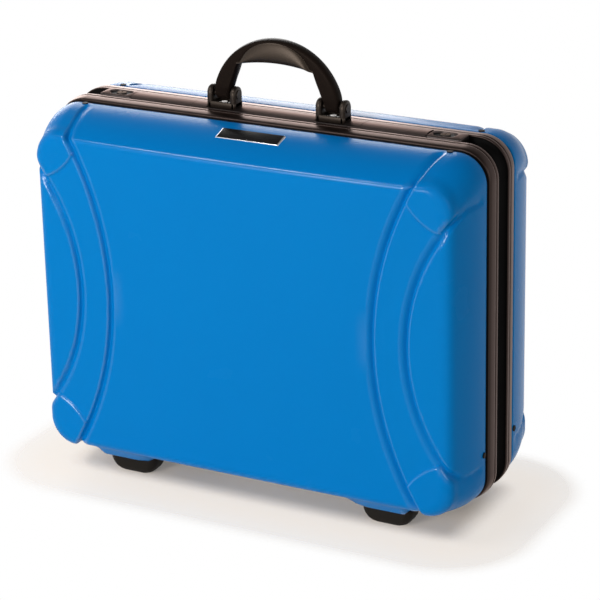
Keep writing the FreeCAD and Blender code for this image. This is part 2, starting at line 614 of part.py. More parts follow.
def leg_end(hand):
    """Round end of a leg on its pin, with a soft outer edge."""
    tag = hand_name(hand)
    blank = rod("leg_blank_" + tag, "X", "%d * %s - leg_width / 2" % (hand, BRACKET_X), "0", PIN_Z,
                "grip_width / 2", "leg_width")
    return rounded("leg_end_" + tag, blank, "grip_round", lambda edge: isinstance(edge.Curve, Part.Circle)
                   and hand * edge.CenterOfMass.x > value(BRACKET_X))


grip_body = join("grip_body", [cut("grip_open", grip_soft, [hole])] + [leg_end(hand) for hand in (-1, 1)])


def core_slab(name, margin):
    """Steel plate inside the grip, shaped like it, with an eye on each pin."""
    half = "(core_thick / 2 + %s)" % margin
    cover = "(core_cover - %s)" % margin
    wide = "(%s - %s)" % (LEG_OUT, cover)
    blank = shared(name + "_arch", [
        box(name + "_block", "0", "2 * " + wide, "-" + half, half, PIN_Z, GRIP_TOP),
        rod(name + "_arc", "Y", "0", "-" + half, GRIP_TOP + " - " + GRIP_ARCH, GRIP_ARCH + " - " + cover,
            "2 * " + half)])
    gap = hand_space(name + "_gap", cover)
    eye_long = "(leg_width - 2 * %s)" % cover
    eyes = [rod("%s_eye_%s" % (name, hand_name(hand)), "X", "%d * %s - %s / 2" % (hand, BRACKET_X, eye_long),
                "0", PIN_Z, "pin_radius + core_thick / 2 + " + margin, eye_long) for hand in (-1, 1)]
    return join(name, [cut(name + "_bar", blank, [gap])] + eyes)


def pin_bores(name):
    """Running bores for the handle pins."""
    return [rod("%s_%s" % (name, hand_name(hand)), "X", "%d * %s - leg_width" % (hand, BRACKET_X), "0", PIN_Z,
                "pin_radius + run_gap", "2 * leg_width") for hand in (-1, 1)]


handle_grip = cut("handle_grip", grip_body, [core_slab("core_space", "core_gap")] + pin_bores("grip_bore"))
handle_core = cut("handle_core", core_slab("core_blank", "0"), pin_bores("core_bore"))

# Rims, cut for the rivets of the hinges
rim_front, front_tools = rim("front_rim", -1)
rim_back, back_tools = rim("back_rim", 1)


# Hinges in the channel under the case
def knuckles(name, hand, turn, radius):
    """Every second length of the hinge barrel."""
    pitch = "(hinge_length / 5)"
    rods = []
    for i in range(turn, 5, 2):
        start = "%d * %s - hinge_length / 2 + %d * %s + knuckle_gap / 2" % (hand, HINGE_X, i, pitch)
        rods.append((start, pitch + " - knuckle_gap"))
    return [(rod("%s_%d" % (name, i), "X", start, "-hinge_y", HINGE_Z, radius, long), start, long)
            for i, (start, long) in enumerate(rods, 1)]


def tab(name, start, long, y0, y1, z0, z1):
    """Short web from a knuckle to its leaf."""
    return box(name, "(%s) + (%s) / 2" % (start, long), long, y0, y1, z0, z1)


def hinge_line(name, hand, radius):
    """Rod along the whole hinge line."""
    return rod(name, "X", "%d * %s - hinge_length / 2" % (hand, HINGE_X), "-hinge_y", HINGE_Z, radius,
               "hinge_length")


def leaf_rivets(name, hand, radius, z, length):
    """Upright rods at a base leaf's rivets."""
    return [rod("%s_%s_%d" % (name, hand_name(hand), i + 2), "Z",
                "%d * %s + %d * leaf_rivet_x" % (hand, HINGE_X, i), "leaf_rivet_y", z, radius, length)
            for i in (-1, 1)]


base_leaves, lid_leaves, hinge_pins, leaf_rivet_set = [], [], [], []
for hand in (-1, 1):
    tag = hand_name(hand)
    # Base leaf under the channel floor
    leaf_low = FLOOR_LOW + " - base_leaf_thick"
    pieces = [box("base_leaf_plate_" + tag, "%d * %s" % (hand, HINGE_X), "hinge_length", "-leaf_lap",
                  "base_leaf_back", leaf_low, FLOOR_LOW)]
    for i, (barrel, start, long) in enumerate(knuckles("base_knuckle_" + tag, hand, 0, "knuckle_radius")):
        pieces += [barrel, tab("base_tab_%s_%d" % (tag, i), start, long, "-hinge_y", "-leaf_lap", HINGE_Z,
                               FLOOR_LOW)]
    bores = [hinge_line("base_hinge_bore_" + tag, hand, "hinge_pin_radius")]
    bores += leaf_rivets("leaf_bore", hand, "leaf_rivet_shank", leaf_low, "base_leaf_thick")
    base_leaves.append(cut("hinge_leaf_base_" + tag, join("base_leaf_" + tag, pieces), bores))
    # Lid leaf on the inner face of the lid's lip
    pieces = [box("lid_leaf_plate_" + tag, "%d * %s" % (hand, HINGE_X), "hinge_length", "-" + LIP,
                  "-%s + lid_leaf_thick" % LIP, "floor_gap - lip_rise + lid_leaf_margin",
                  FLOOR_LOW + " - lid_leaf_margin")]
    for i, (barrel, start, long) in enumerate(knuckles("lid_knuckle_" + tag, hand, 1, "knuckle_radius")):
        pieces += [barrel, tab("lid_tab_%s_%d" % (tag, i), start, long, "-" + LIP, "-hinge_y",
                               HINGE_Z + " - tab_half", HINGE_Z + " + tab_half")]
    lid_leaves.append(cut("hinge_leaf_lid_" + tag, join("lid_leaf_" + tag, pieces), [
        hinge_line("lid_hinge_bore_" + tag, hand, "hinge_pin_radius + run_gap")]))
    hinge_pins.append(hinge_line("hinge_pin_" + tag, hand, "hinge_pin_radius"))
    # Rivets that hold the base leaf to the channel floor
    heads = leaf_rivets("leaf_head", hand, "leaf_rivet_head", leaf_low + " - leaf_rivet_thick",
                        "leaf_rivet_thick")
    stems = leaf_rivets("leaf_stem", hand, "leaf_rivet_shank", leaf_low, "leaf_rivet_long")
    leaf_rivet_set += [join("leaf_rivet_%s_%d" % (tag, i), pair) for i, pair in enumerate(zip(heads, stems))]
    back_tools += leaf_rivets("floor_bore", hand, "leaf_rivet_shank", leaf_low, "leaf_rivet_long")
hinge_rivets = group("hinge_rivets", leaf_rivet_set)
front_rim = cut("front_rim", rim_front, front_tools)
back_rim = cut("back_rim", rim_back, back_tools)


# Rivets of the shells, feet and foot screws
def shell_rivets(name, side):
    """Round-headed rivets, a group of separate solids."""
    heads = rivet_rods(name + "_head", side, "rivet_head", "rivet_sink", "rivet_proud")
    stems = rivet_rods(name + "_stem", side, "rivet_shank", "rivet_depth", "-rivet_sink")
    return group(name, [join("%s_%d" % (name, i), pair) for i, pair in enumerate(zip(heads, stems), 1)])


front_rivets = shell_rivets("front_rivets", -1)
back_rivets = shell_rivets("back_rivets", 1)


def foot(name, hand, side):
    """Rubber foot with a counterbore for its screw."""
    y_mid = "%d * foot_y" % side
    block = box(name + "_block", "%d * %s" % (hand, FOOT_X), "foot_length", y_mid + " - foot_width / 2",
                y_mid + " + foot_width / 2", "0", "foot_height")
    soft = rounded(name + "_soft", block, "foot_round",
                   lambda edge: not (abs(edge.CenterOfMass.z - value("foot_height")) < NEAR))
    bore = rod(name + "_bore", "Z", "%d * %s" % (hand, FOOT_X), y_mid, "0", "screw_shank", "foot_height")
    sink = rod(name + "_sink", "Z", "%d * %s" % (hand, FOOT_X), y_mid, "0", "screw_head", "screw_sink")
    return cut(name, soft, [bore, sink])


feet = []
foot_screw_sets = []
for side, word in ((-1, "front"), (1, "back")):
    for hand in (-1, 1):
        feet.append(foot("%s_foot_%s" % (word, hand_name(hand)), hand, side))
    heads = screw_rods(word + "_screw_head", side, "screw_head", "screw_sink - screw_head_thick",
                       "screw_head_thick")
    stems = screw_rods(word + "_screw_stem", side, "screw_shank", "screw_sink", "screw_long")
    screws = [join("%s_foot_screw_%d" % (word, i), pair) for i, pair in enumerate(zip(heads, stems), 1)]
    foot_screw_sets.append(group(word + "_foot_screws", screws))

# Label plate
label_plate = label_block("label_plate", "0", "label_thick")

# Tool panel in the lid, with two rows of pockets
panel_sketch = outline("panel_edge", "-(panel_y + panel_thick)", PANEL_HALF, PANEL_LOW, PANEL_HIGH,
                       "panel_round")
panel_bores = [rod("panel_bore_%d" % i, "Y", x, "-(panel_y + panel_thick)", z, "screw_shank", "panel_thick")
               for i, (x, z) in enumerate(POSTS, 1)]
lid_panel = cut("lid_panel", slab("panel_slab", panel_sketch, "panel_thick"), panel_bores)
panel_screw_list = []
for i, (x, z) in enumerate(POSTS, 1):
    panel_screw_list.append(join("panel_screw_%d" % i, [
        rod("panel_screw_head_%d" % i, "Y", x, "-panel_y", z, "screw_head", "screw_head_thick / 2"),
        rod("panel_screw_stem_%d" % i, "Y", x, "-(panel_y + panel_screw_long)", z, "screw_shank",
            "panel_screw_long")]))
panel_screws = group("panel_screws", panel_screw_list)
pocket_rows = []
for word, level in (("lower", PANEL_LOW + " + pocket_low_in"),
                    ("upper", PANEL_HIGH + " - pocket_high_in - pocket_height")):
    rim_level = level + " + pocket_height"
    block = box("pocket_block_" + word, "0", "2 * " + POCKET_HALF, "-panel_y", "-panel_y + pocket_depth",
                level, rim_level)
    cells = [box("pocket_cell_%s_%s" % (word, hand_name(hand)), "%d * %s / 2" % (hand, POCKET_HALF),
                 POCKET_HALF + " - 2 * pocket_wall", "-panel_y", "-panel_y + pocket_depth - pocket_wall",
                 level + " + pocket_wall", rim_level) for hand in (-1, 1)]
    pocket_rows.append(cut("pocket_row_" + word, block, cells))

# Dividers in the base, shaped to the inside of the back shell
long_divider = shared("base_divider_long", [
    box("divider_long_block", "0", "seam_width", SEAM + " + skirt_depth + skirt_gap", "seam_depth * 2",
        DIVIDER_Z + " - divider_thick / 2", DIVIDER_Z + " + divider_thick / 2"),
    shell_form("divider_long_room", 1, "shell_wall + fit_gap")])
short_blocks = []
for i in (-1, 1):
    room = shell_form("divider_short_room_" + hand_name(i), 1, "shell_wall + fit_gap")
    block = box("divider_short_block_" + hand_name(i), "%d * divider_x" % i, "divider_thick",
                SEAM + " + skirt_depth + skirt_gap", "seam_depth * 2", "floor_gap",
                DIVIDER_Z + " - divider_thick / 2")
    short_blocks.append(shared("base_divider_short_" + hand_name(i), [block, room]))
short_dividers = group("base_dividers_short", short_blocks)

doc.recompute()

NODES = [front_shell, back_shell, front_rim, back_rim, top_strip, handle_grip, handle_core, bracket_screw_set,
         label_plate, hinge_rivets, front_rivets, back_rivets, lid_panel, panel_screws, long_divider,
         short_dividers]
NODES += bezels + levers + latch_pins + buttons + cores + keepers + handle_brackets + handle_pins
NODES += base_leaves + lid_leaves + hinge_pins + feet + foot_screw_sets + pocket_rows

for thing in doc.Objects:
    if "Invalid" in thing.State or "Error" in thing.State:
        raise RuntimeError("%s did not compute" % thing.Name)
os.makedirs("parts", exist_ok=True)
for node in NODES:
    if node.Shape.isNull() or not node.Shape.isValid() or not node.Shape.Solids:
        raise RuntimeError("%s is not a valid solid" % node.Label)
    node.Shape.exportStep("parts/%s.step" % node.Label)
print("wrote %d parts" % len(NODES))
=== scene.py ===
import bmesh
import bpy
import math
from mathutils import Matrix, Vector


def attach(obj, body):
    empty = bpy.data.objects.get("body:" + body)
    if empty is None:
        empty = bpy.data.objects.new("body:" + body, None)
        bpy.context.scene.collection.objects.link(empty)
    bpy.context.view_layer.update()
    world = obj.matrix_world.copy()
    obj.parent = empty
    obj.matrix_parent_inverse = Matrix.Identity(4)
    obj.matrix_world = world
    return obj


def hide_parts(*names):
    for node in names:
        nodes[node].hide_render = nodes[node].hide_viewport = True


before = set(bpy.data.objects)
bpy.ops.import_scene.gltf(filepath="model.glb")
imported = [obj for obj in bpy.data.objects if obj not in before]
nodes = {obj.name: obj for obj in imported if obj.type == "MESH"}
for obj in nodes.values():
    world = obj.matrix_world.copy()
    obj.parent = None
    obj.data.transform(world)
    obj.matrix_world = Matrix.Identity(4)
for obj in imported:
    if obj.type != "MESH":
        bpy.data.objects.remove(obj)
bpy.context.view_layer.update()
scene = bpy.context.scene

# Sizes in mm, as in the solid model; finished meshes are scaled to metres
MM = 0.001
HALF = 235.0
LOW = 25.0
HIGH = 379.5
MID_Z = (LOW + HIGH) / 2
SEAM_Y = 32.0
SEAM_ROUND = 29.0
SHELL_WALL = 3.5

# Crowned face and the walls that run back from it to the rim
FACE_DEPTH = 64.0
CROWN_HALF = 220.0
CROWN_DROP = 4.5
CROWN_BEND = (CROWN_HALF ** 2 + CROWN_DROP ** 2) / (2 * CROWN_DROP)
WAIST = 26.0
TIP = 70.0
TIP_ROUND = 22.0
WALL_INSETS = {"side": (2.5, 17.0), "top": (3.0, 28.0), "bottom": (1.0, 12.2)}
EDGE_LENGTH = {"side": 9.0, "top": 3.4, "bottom": 8.0}

# Grooves, corner pads and foot bosses pressed into both shells
ARCS = ((144.0, 320.0), (179.0, 196.0))
GROOVE_SINK = 4.0
GROOVE_FALL = 7.5
GROOVE_RISE = (0.7, 3.9)
GROOVE_WALL = {"side": 0.4, "top": 0.6}
GROOVE_END = (6.0, 14.0)
SIDE_SHIFT = 8.0
PAD_REACH = 65.0
PAD_EDGE = 1.2
PAD_RISE = 2.0
PAD_FADE = (45.0, 57.0)
PAD_START = (0.0, 2.5)
PAD_STOP = (-4.0, -1.0)
FOOT_X = 144.5
FOOT_Y = 54.0
BOSS_Z = 20.6
BOSS_HALF = (24.0, 33.0)
BOSS_DEPTH = (0.5, 6.0, 44.0, 57.0)
UNDERSIDE = -0.2

# Polish of the shell's edges: limits of the outward bend and of the turn to the side
POLISH_BEND = (0.03, 0.12)
POLISH_SIDE = (0.35, 0.7)
POLISH_ROUGH = 0.16

# Rim, strip and handle levels
STRIP_TOP = 385.1
STRIP_FRONT = 10.7
STRIP_CROWN = 2.0
STRIP_BEND = (STRIP_FRONT ** 2 + STRIP_CROWN ** 2) / (2 * STRIP_CROWN)
CHANNEL_Z = 375.5
LOCK_X = 178.13
PIN_Z = 397.0
BRACKET_X = 59.784


# Shader groups that several finishes share
def new_group(name, inputs, outputs):
    """Empty node group with named sockets; returns it with its two end nodes."""
    group = bpy.data.node_groups.new(name, "ShaderNodeTree")
    for label, kind, start in inputs:
        socket = group.interface.new_socket(label, in_out="INPUT", socket_type=kind)
        socket.default_value = start
    for label, kind in outputs:
        group.interface.new_socket(label, in_out="OUTPUT", socket_type=kind)
    return group, group.nodes.new("NodeGroupInput"), group.nodes.new("NodeGroupOutput")


def make_grain_group():
    """Moulded grain: a fine height and a slow drift of roughness."""
    group, start, end = new_group("moulded_grain", (
        ("Grain Size", "NodeSocketFloat", 1500.0), ("Drift Size", "NodeSocketFloat", 14.0),
        ("Rough Low", "NodeSocketFloat", 0.3), ("Rough High", "NodeSocketFloat", 0.4)),
        (("Height", "NodeSocketFloat"), ("Roughness", "NodeSocketFloat")))
    link = group.links.new
    place = group.nodes.new("ShaderNodeTexCoord")
    fine = group.nodes.new("ShaderNodeTexNoise")
    fine.inputs["Detail"].default_value = 2.0
    slow = group.nodes.new("ShaderNodeTexNoise")
    slow.inputs["Detail"].default_value = 4.0
    span = group.nodes.new("ShaderNodeMapRange")
    span.inputs["From Min"].default_value = 0.3
    span.inputs["From Max"].default_value = 0.7
    link(place.outputs["Object"], fine.inputs["Vector"])
    link(place.outputs["Object"], slow.inputs["Vector"])
    link(start.outputs["Grain Size"], fine.inputs["Scale"])
    link(start.outputs["Drift Size"], slow.inputs["Scale"])
    link(slow.outputs["Fac"], span.inputs["Value"])
    link(start.outputs["Rough Low"], span.inputs["To Min"])
    link(start.outputs["Rough High"], span.inputs["To Max"])
    link(fine.outputs["Fac"], end.inputs["Height"])
    link(span.outputs["Result"], end.inputs["Roughness"])
    return group


def make_drift_group():
    """Slow mix of two near colours over a surface."""
    grey = (0.5, 0.5, 0.5, 1)
    group, start, end = new_group("colour_drift", (
        ("Colour A", "NodeSocketColor", grey), ("Colour B", "NodeSocketColor", grey),
        ("Size", "NodeSocketFloat", 9.0)), (("Color", "NodeSocketColor"),))
    link = group.links.new
    place = group.nodes.new("ShaderNodeTexCoord")
    cloud = group.nodes.new("ShaderNodeTexNoise")
    cloud.inputs["Detail"].default_value = 5.0
    mix = group.nodes.new("ShaderNodeMix")
    mix.data_type = "RGBA"
    link(place.outputs["Object"], cloud.inputs["Vector"])
    link(start.outputs["Size"], cloud.inputs["Scale"])
    link(cloud.outputs["Fac"], mix.inputs["Factor"])
    link(start.outputs["Colour A"], mix.inputs["A"])
    link(start.outputs["Colour B"], mix.inputs["B"])
    link(mix.outputs["Result"], end.inputs["Color"])
    return group


def make_brush_group():
    """Drawn metal: long fine streaks along X."""
    group, start, end = new_group("drawn_metal", (
        ("Streaks", "NodeSocketFloat", 900.0), ("Rough Low", "NodeSocketFloat", 0.25),
        ("Rough High", "NodeSocketFloat", 0.4)),
        (("Height", "NodeSocketFloat"), ("Roughness", "NodeSocketFloat")))
    link = group.links.new
    place = group.nodes.new("ShaderNodeTexCoord")
    stretch = group.nodes.new("ShaderNodeMapping")
    stretch.inputs["Scale"].default_value = (0.02, 1.0, 0.15)
    streak = group.nodes.new("ShaderNodeTexNoise")
    streak.inputs["Detail"].default_value = 3.0
    span = group.nodes.new("ShaderNodeMapRange")
    link(place.outputs["Object"], stretch.inputs["Vector"])
    link(stretch.outputs["Vector"], streak.inputs["Vector"])
    link(start.outputs["Streaks"], streak.inputs["Scale"])
    link(streak.outputs["Fac"], span.inputs["Value"])
    link(start.outputs["Rough Low"], span.inputs["To Min"])
    link(start.outputs["Rough High"], span.inputs["To Max"])
    link(streak.outputs["Fac"], end.inputs["Height"])
    link(span.outputs["Result"], end.inputs["Roughness"])
    return group


GRAIN = make_grain_group()
DRIFT = make_drift_group()
BRUSH = make_brush_group()


def place_group(tree, group, values):
    """A group node with its own values."""
    node = tree.nodes.new("ShaderNodeGroup")
    node.node_tree = group
    for label, number in values.items():
        node.inputs[label].default_value = number
    return node


def finish_material(name, colours, texture, values, bump, metal=0.0, gloss=0.5, sheen=(1, 1, 1)):
    """Principled finish whose colour, roughness and normal come from the shared groups."""
    material = bpy.data.materials.new(name)
    material.use_nodes = True
    tree = material.node_tree
    shader = tree.nodes["Principled BSDF"]
    shader.inputs["Metallic"].default_value = metal
    shader.inputs["Specular IOR Level"].default_value = gloss
    shader.inputs["Specular Tint"].default_value = (*sheen, 1)
    tint = place_group(tree, DRIFT, {"Colour A": (*colours[0], 1), "Colour B": (*colours[1], 1)})
    grain = place_group(tree, texture, values)
    dent = tree.nodes.new("ShaderNodeBump")
    dent.inputs["Strength"].default_value = bump
    dent.inputs["Distance"].default_value = 0.0002
    tree.links.new(tint.outputs["Color"], shader.inputs["Base Color"])
    tree.links.new(grain.outputs["Roughness"], shader.inputs["Roughness"])
    tree.links.new(grain.outputs["Height"], dent.inputs["Height"])
    tree.links.new(dent.outputs["Normal"], shader.inputs["Normal"])
    return material


def grain_values(size, low, high):
    """Values of the moulded grain."""
    return {"Grain Size": size, "Rough Low": low, "Rough High": high}


def brush_values(size, low, high):
    """Values of drawn metal."""
    return {"Streaks": size, "Rough Low": low, "Rough High": high}


# Specular tints. The warm tint on the dark plastics' reflections is painted warm light; the lamps themselves
# are near white.
WARM_LIGHT_SHEEN = (1.0, 0.8, 0.66)
RIM_SHEEN = (1.0, 0.86, 0.82)
STRIP_SHEEN = (0.66, 0.56, 0.53)
LOCK_SHEEN = (0.55, 0.49, 0.46)
blue_shell = finish_material("blue_shell_plastic", ((0.0, 0.188, 0.56), (0.0, 0.2, 0.585)), GRAIN,
                             grain_values(1500.0, 0.25, 0.275), 0.1, gloss=0.04)
rim_metal = finish_material("dark_anodised_rim", ((0.025, 0.017, 0.015), (0.033, 0.023, 0.02)), BRUSH,
                            brush_values(900.0, 0.28, 0.4), 0.12, metal=0.85, sheen=RIM_SHEEN)
# Near-black painted shade for the gap at the seam, the channel between the rims and the floor and bore of
# each lock recess.
channel_painted_shade = finish_material("channel_painted_shade", ((0.001, 0.0008, 0.0008), (0.002, 0.0016, 0.0015)), GRAIN,
                                grain_values(900.0, 0.5, 0.62), 0.2, gloss=0.05)
strip_metal = finish_material("anodised_strip", ((0.06, 0.05, 0.049), (0.074, 0.063, 0.061)), BRUSH,
                              brush_values(1100.0, 0.34, 0.44), 0.1, metal=0.95, sheen=STRIP_SHEEN)
handle_plastic = finish_material("handle_plastic", ((0.009, 0.006, 0.005), (0.013, 0.009, 0.007)), GRAIN,
                                 grain_values(1800.0, 0.34, 0.46), 0.25, gloss=0.03, sheen=WARM_LIGHT_SHEEN)
grip_pad = finish_material("grip_pad", ((0.014, 0.01, 0.007), (0.02, 0.014, 0.01)), GRAIN,
                           grain_values(2000.0, 0.36, 0.42), 0.2, gloss=0.36, sheen=WARM_LIGHT_SHEEN)
bracket_plastic = finish_material("bracket_plastic", ((0.009, 0.0065, 0.005), (0.013, 0.01, 0.008)), GRAIN,
                                  grain_values(1600.0, 0.34, 0.42), 0.15, gloss=0.35, sheen=WARM_LIGHT_SHEEN)
foot_rubber = finish_material("foot_rubber", ((0.009, 0.0075, 0.006), (0.013, 0.011, 0.009)), GRAIN,
                              grain_values(1100.0, 0.5, 0.65), 0.35, gloss=0.12)
lock_nickel = finish_material("lock_nickel", ((0.05, 0.045, 0.042), (0.065, 0.058, 0.054)), BRUSH,
                              brush_values(1500.0, 0.34, 0.44), 0.08, metal=1.0, sheen=LOCK_SHEEN)
hinge_steel = finish_material("hinge_steel", ((0.36, 0.35, 0.33), (0.42, 0.41, 0.39)), BRUSH,
                              brush_values(1200.0, 0.28, 0.42), 0.12, metal=1.0)
rivet_dark = finish_material("rivet_dark", ((0.012, 0.009, 0.008), (0.018, 0.014, 0.012)), GRAIN,
                             grain_values(900.0, 0.5, 0.6), 0.1, gloss=0.05)
plate_black = finish_material("plate_black", ((0.006, 0.006, 0.007), (0.009, 0.009, 0.01)), GRAIN,
                              grain_values(2200.0, 0.2, 0.28), 0.05, gloss=0.08)
plate_edge = finish_material("plate_bright_edge", ((0.62, 0.63, 0.65), (0.7, 0.71, 0.73)), BRUSH,
                             brush_values(1600.0, 0.15, 0.25), 0.05, metal=1.0)
panel_plastic = finish_material("panel_plastic", ((0.018, 0.018, 0.02), (0.026, 0.026, 0.028)), GRAIN,
                                grain_values(700.0, 0.45, 0.6), 0.5)
pocket_plastic = finish_material("pocket_plastic", ((0.012, 0.012, 0.013), (0.02, 0.02, 0.021)), GRAIN,
                                 grain_values(900.0, 0.5, 0.62), 0.45)


def polish_edges(material, roughness):
    """Glossy skin where a piece's own polish attribute marks its outward edges."""
    tree = material.node_tree
    mark = tree.nodes.new("ShaderNodeAttribute")
    mark.attribute_name = "polish"
    shader = tree.nodes["Principled BSDF"]
    shader.inputs["Coat Roughness"].default_value = roughness
    tree.links.new(mark.outputs["Fac"], shader.inputs["Coat Weight"])


polish_edges(blue_shell, POLISH_ROUGH)


# Mesh helpers
def smooth_step(low, high, value):
    """0 below low, 1 above high, smooth between."""
    t = min(1.0, max(0.0, (value - low) / (high - low)))
    return t * t * (3 - 2 * t)


def blend(a, b, t):
    """Number part way from a to b."""
    return a + (b - a) * t


def grow(bm, edges):
    """Extrude an edge loop once; returns its new vertices and edges."""
    made = bmesh.ops.extrude_edge_only(bm, edges=edges)["geom"]
    fresh = {item for item in made if isinstance(item, bmesh.types.BMVert)}
    sides = [item for item in made if isinstance(item, bmesh.types.BMEdge)]
    return fresh, [edge for edge in sides if all(vert in fresh for vert in edge.verts)]


def corner_spots(steps):
    """Loop of spots on a rounded rectangle: run signs and the unit turn of each corner."""
    spots = []
    for quarter, (sx, sy) in enumerate(((1, -1), (1, 1), (-1, 1), (-1, -1))):
        for k in range(steps + 1):
            angle = math.pi / 2 * (quarter - 1 + k / steps)
            spots.append((sx, sy, math.cos(angle), math.sin(angle)))
    return spots


def ring_stack(bm, count, places, closed=False, caps=(True, True), materials=None):
    """Loops of vertices, one for each place function, joined into a skin."""
    turn = bm.verts.layers.int.get("turn") or bm.verts.layers.int.new("turn")
    loop = bmesh.ops.create_circle(bm, cap_ends=False, segments=count, radius=1.0)["verts"]
    for i, vert in enumerate(loop):
        vert[turn] = i
        vert.co = places[0](i)
    first = list({edge for vert in loop for edge in vert.link_edges})
    last = first
    for step, place in enumerate(places[1:]):
        fresh, last = grow(bm, last)
        for vert in fresh:
            vert.co = place(vert[turn])
        if materials:
            for face in {face for edge in last for face in edge.link_faces}:
                face.material_index = materials[step]
    if closed:
        bmesh.ops.bridge_loops(bm, edges=first + last)
    if caps[0] and not closed:
        bmesh.ops.edgeloop_fill(bm, edges=first)
    if caps[1] and not closed:
        bmesh.ops.edgeloop_fill(bm, edges=last)


def make_piece(name, bm, materials, body, replaced=(), closed=True):
    """Scale a finished bmesh to metres and add it as a piece that rides on a body."""
    if closed:
        bmesh.ops.recalc_face_normals(bm, faces=bm.faces)
    bmesh.ops.scale(bm, vec=(MM, MM, MM), verts=bm.verts)
    mesh = bpy.data.meshes.new(name)
    bm.to_mesh(mesh)
    bm.free()
    for polygon in mesh.polygons:
        polygon.use_smooth = True
    piece = bpy.data.objects.new(name, mesh)
    for material in materials:
        mesh.materials.append(material)
    scene.collection.objects.link(piece)
    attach(piece, body)
    if replaced:
        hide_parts(*replaced)
    return piece


# Shells: a lattice for the face, grown back over the edge and along the walls
def stations(length, edge, fine, coarse):
    """Fractions from -1 to 1, closer together near both ends."""
    ends = int(edge / fine)
    inner = length / 2 - edge
    middle = max(1, int(2 * inner / coarse))
    left = [-length / 2 + k * fine for k in range(ends)]
    centre = [-inner + 2 * inner * k / middle for k in range(middle + 1)]
    right = [-x for x in reversed(left)]
    return [2 * x / length for x in left + centre + right]


def lattice_lines(length, edge, fine, coarse, corner):
    """Pairs of run fraction and corner fraction for the lines of a lattice."""
    low = [(-1.0, -1 + k / corner) for k in range(corner)]
    straight = [(f, 0.0) for f in stations(length, edge, fine, coarse)]
    return low + straight + [(1.0, (k + 1) / corner) for k in range(corner)]


COLUMNS = lattice_lines(length=388.0, edge=56.0, fine=0.9, coarse=12.0, corner=12)
ROWS = lattice_lines(length=287.0, edge=40.0, fine=1.2, coarse=3.2, corner=11)
EDGE_STEPS = 7
WALL_STEPS = 18
LAST_WALL = 0.985
NORMAL_ROUNDS = 8

# Depth of the turned-in edge at each drop from the seam's outline
CURL_DEPTHS = {0.35: 0.5, 1.3: 0.1}

# How fast a groove's depth and its shift settle along a wall
DEPTH_PACE = 6
SHIFT_PACE = 3


def wall_inset(kind, depth):
    """How far a wall has drawn in at a depth, and its slope there."""
    waist, tip = WALL_INSETS[kind]
    bow = (tip / TIP - waist / WAIST) / (TIP - WAIST)
    lean = waist / WAIST - WAIST * bow
    return depth * (lean + bow * depth), lean + 2 * bow * depth


def corner_round(depth):
    """Corner radius of the shell's outline at a depth."""
    return SEAM_ROUND - (SEAM_ROUND - TIP_ROUND) * max(0.0, (depth - WAIST) / (TIP - WAIST)) ** 2


def face_depth(x):
    """Depth of the crowned face at a distance from the middle."""
    return FACE_DEPTH - (CROWN_BEND - math.sqrt(CROWN_BEND ** 2 - x * x))


SIDE_DEPTH = face_depth(HALF - wall_inset("side", FACE_DEPTH)[0])
TOP_EDGE = 59.4
EDGE_SPREAD = (EDGE_LENGTH["side"] + EDGE_LENGTH["top"]) / 2


def wall_scale(kind, depth):
    """Stretch that keeps the top edge level, however deep the crowned face is."""
    return TOP_EDGE / depth if kind == "top" else 1.0


def edge_end(kind, depth):
    """Depth at which a wall leaves the soft edge of the face."""
    scale = wall_scale(kind, depth)
    slope = wall_inset(kind, depth * scale)[1] * scale
    return depth - EDGE_LENGTH[kind] / math.sqrt(1 + slope ** 2)


def edge_point(kind, depth, s):
    """Inset and depth on the soft edge, from the face at 0 to the wall at 1."""
    scale = wall_scale(kind, depth)
    corner = wall_inset(kind, depth * scale)[0]
    end = edge_end(kind, depth)
    weights = ((1 - s) ** 2, 2 * s * (1 - s), s * s)
    insets = (corner + EDGE_LENGTH[kind], corner, wall_inset(kind, end * scale)[0])
    depths = (depth, depth, end)
    return sum(w * a for w, a in zip(weights, insets)), sum(w * d for w, d in zip(weights, depths))


def on_outline(spot, side, top, bottom, radius):
    """X and Z of a spot on an outline with three insets."""
    fx, fz, ex, ez = spot
    low = LOW + bottom + radius
    high = HIGH - top - radius
    return fx * (HALF - side - radius) + ex * radius, blend(low, high, (fz + 1) / 2) + ez * radius


def upright(spot):
    """Share of the top or bottom wall at a spot, against the side wall."""
    return spot[3] ** 2 / max(1e-9, spot[2] ** 2 + spot[3] ** 2)


def edge_place(spot, s):
    """Point on the soft edge between face and wall."""
    side_in, side_depth = edge_point("side", SIDE_DEPTH, s)
    radius = corner_round(side_depth) - EDGE_SPREAD * (1 - s) ** 2
    depth = face_depth(spot[0] * (HALF - side_in - radius) + spot[2] * radius)
    top_in, top_depth = edge_point("top", depth, s)
    low_in, low_depth = edge_point("bottom", depth, s)
    x, z = on_outline(spot, side_in, top_in, low_in, radius)
    return x, blend(side_depth, top_depth if spot[3] > 0 else low_depth, upright(spot)), z


def wall_place(spot, t):
    """Point on the wall, from the soft edge at 0 to the seam at 1."""
    depth = face_depth(edge_place(spot, 0.0)[0])
    ends = {kind: edge_end(kind, SIDE_DEPTH if kind == "side" else depth) for kind in WALL_INSETS}
    insets = [wall_inset(kind, end * (1 - t) * wall_scale(kind, depth))[0] for kind, end in ends.items()]
    x, z = on_outline(spot, *insets, corner_round(ends["side"] * (1 - t)))
    return x, blend(ends["side"], ends["top" if spot[3] > 0 else "bottom"], upright(spot)) * (1 - t), z


def curl_place(spot, drop):
    """Point on the edge that the shell turns in at the seam."""
    x, z = on_outline(spot, drop, drop, drop, SEAM_ROUND - drop)
    return x, CURL_DEPTHS[drop], z


def arc_side(arc, x, z):
    """Distance outwards from a groove's line at a point."""
    reach, radius = arc
    return radius - math.hypot(abs(x) - reach - radius, z - MID_Z)


def groove_drop(x, z):
    """Depth of the curved grooves at a point; a long round fall from the middle, a short rise outwards."""
    drop = 0.0
    for arc in ARCS:
        out = arc_side(arc, x, z)
        fall = min(1.0, max(0.0, 1 + out / GROOVE_FALL)) ** 2
        drop = max(drop, fall * (1 - smooth_step(*GROOVE_RISE, out)))
    return GROOVE_SINK * drop


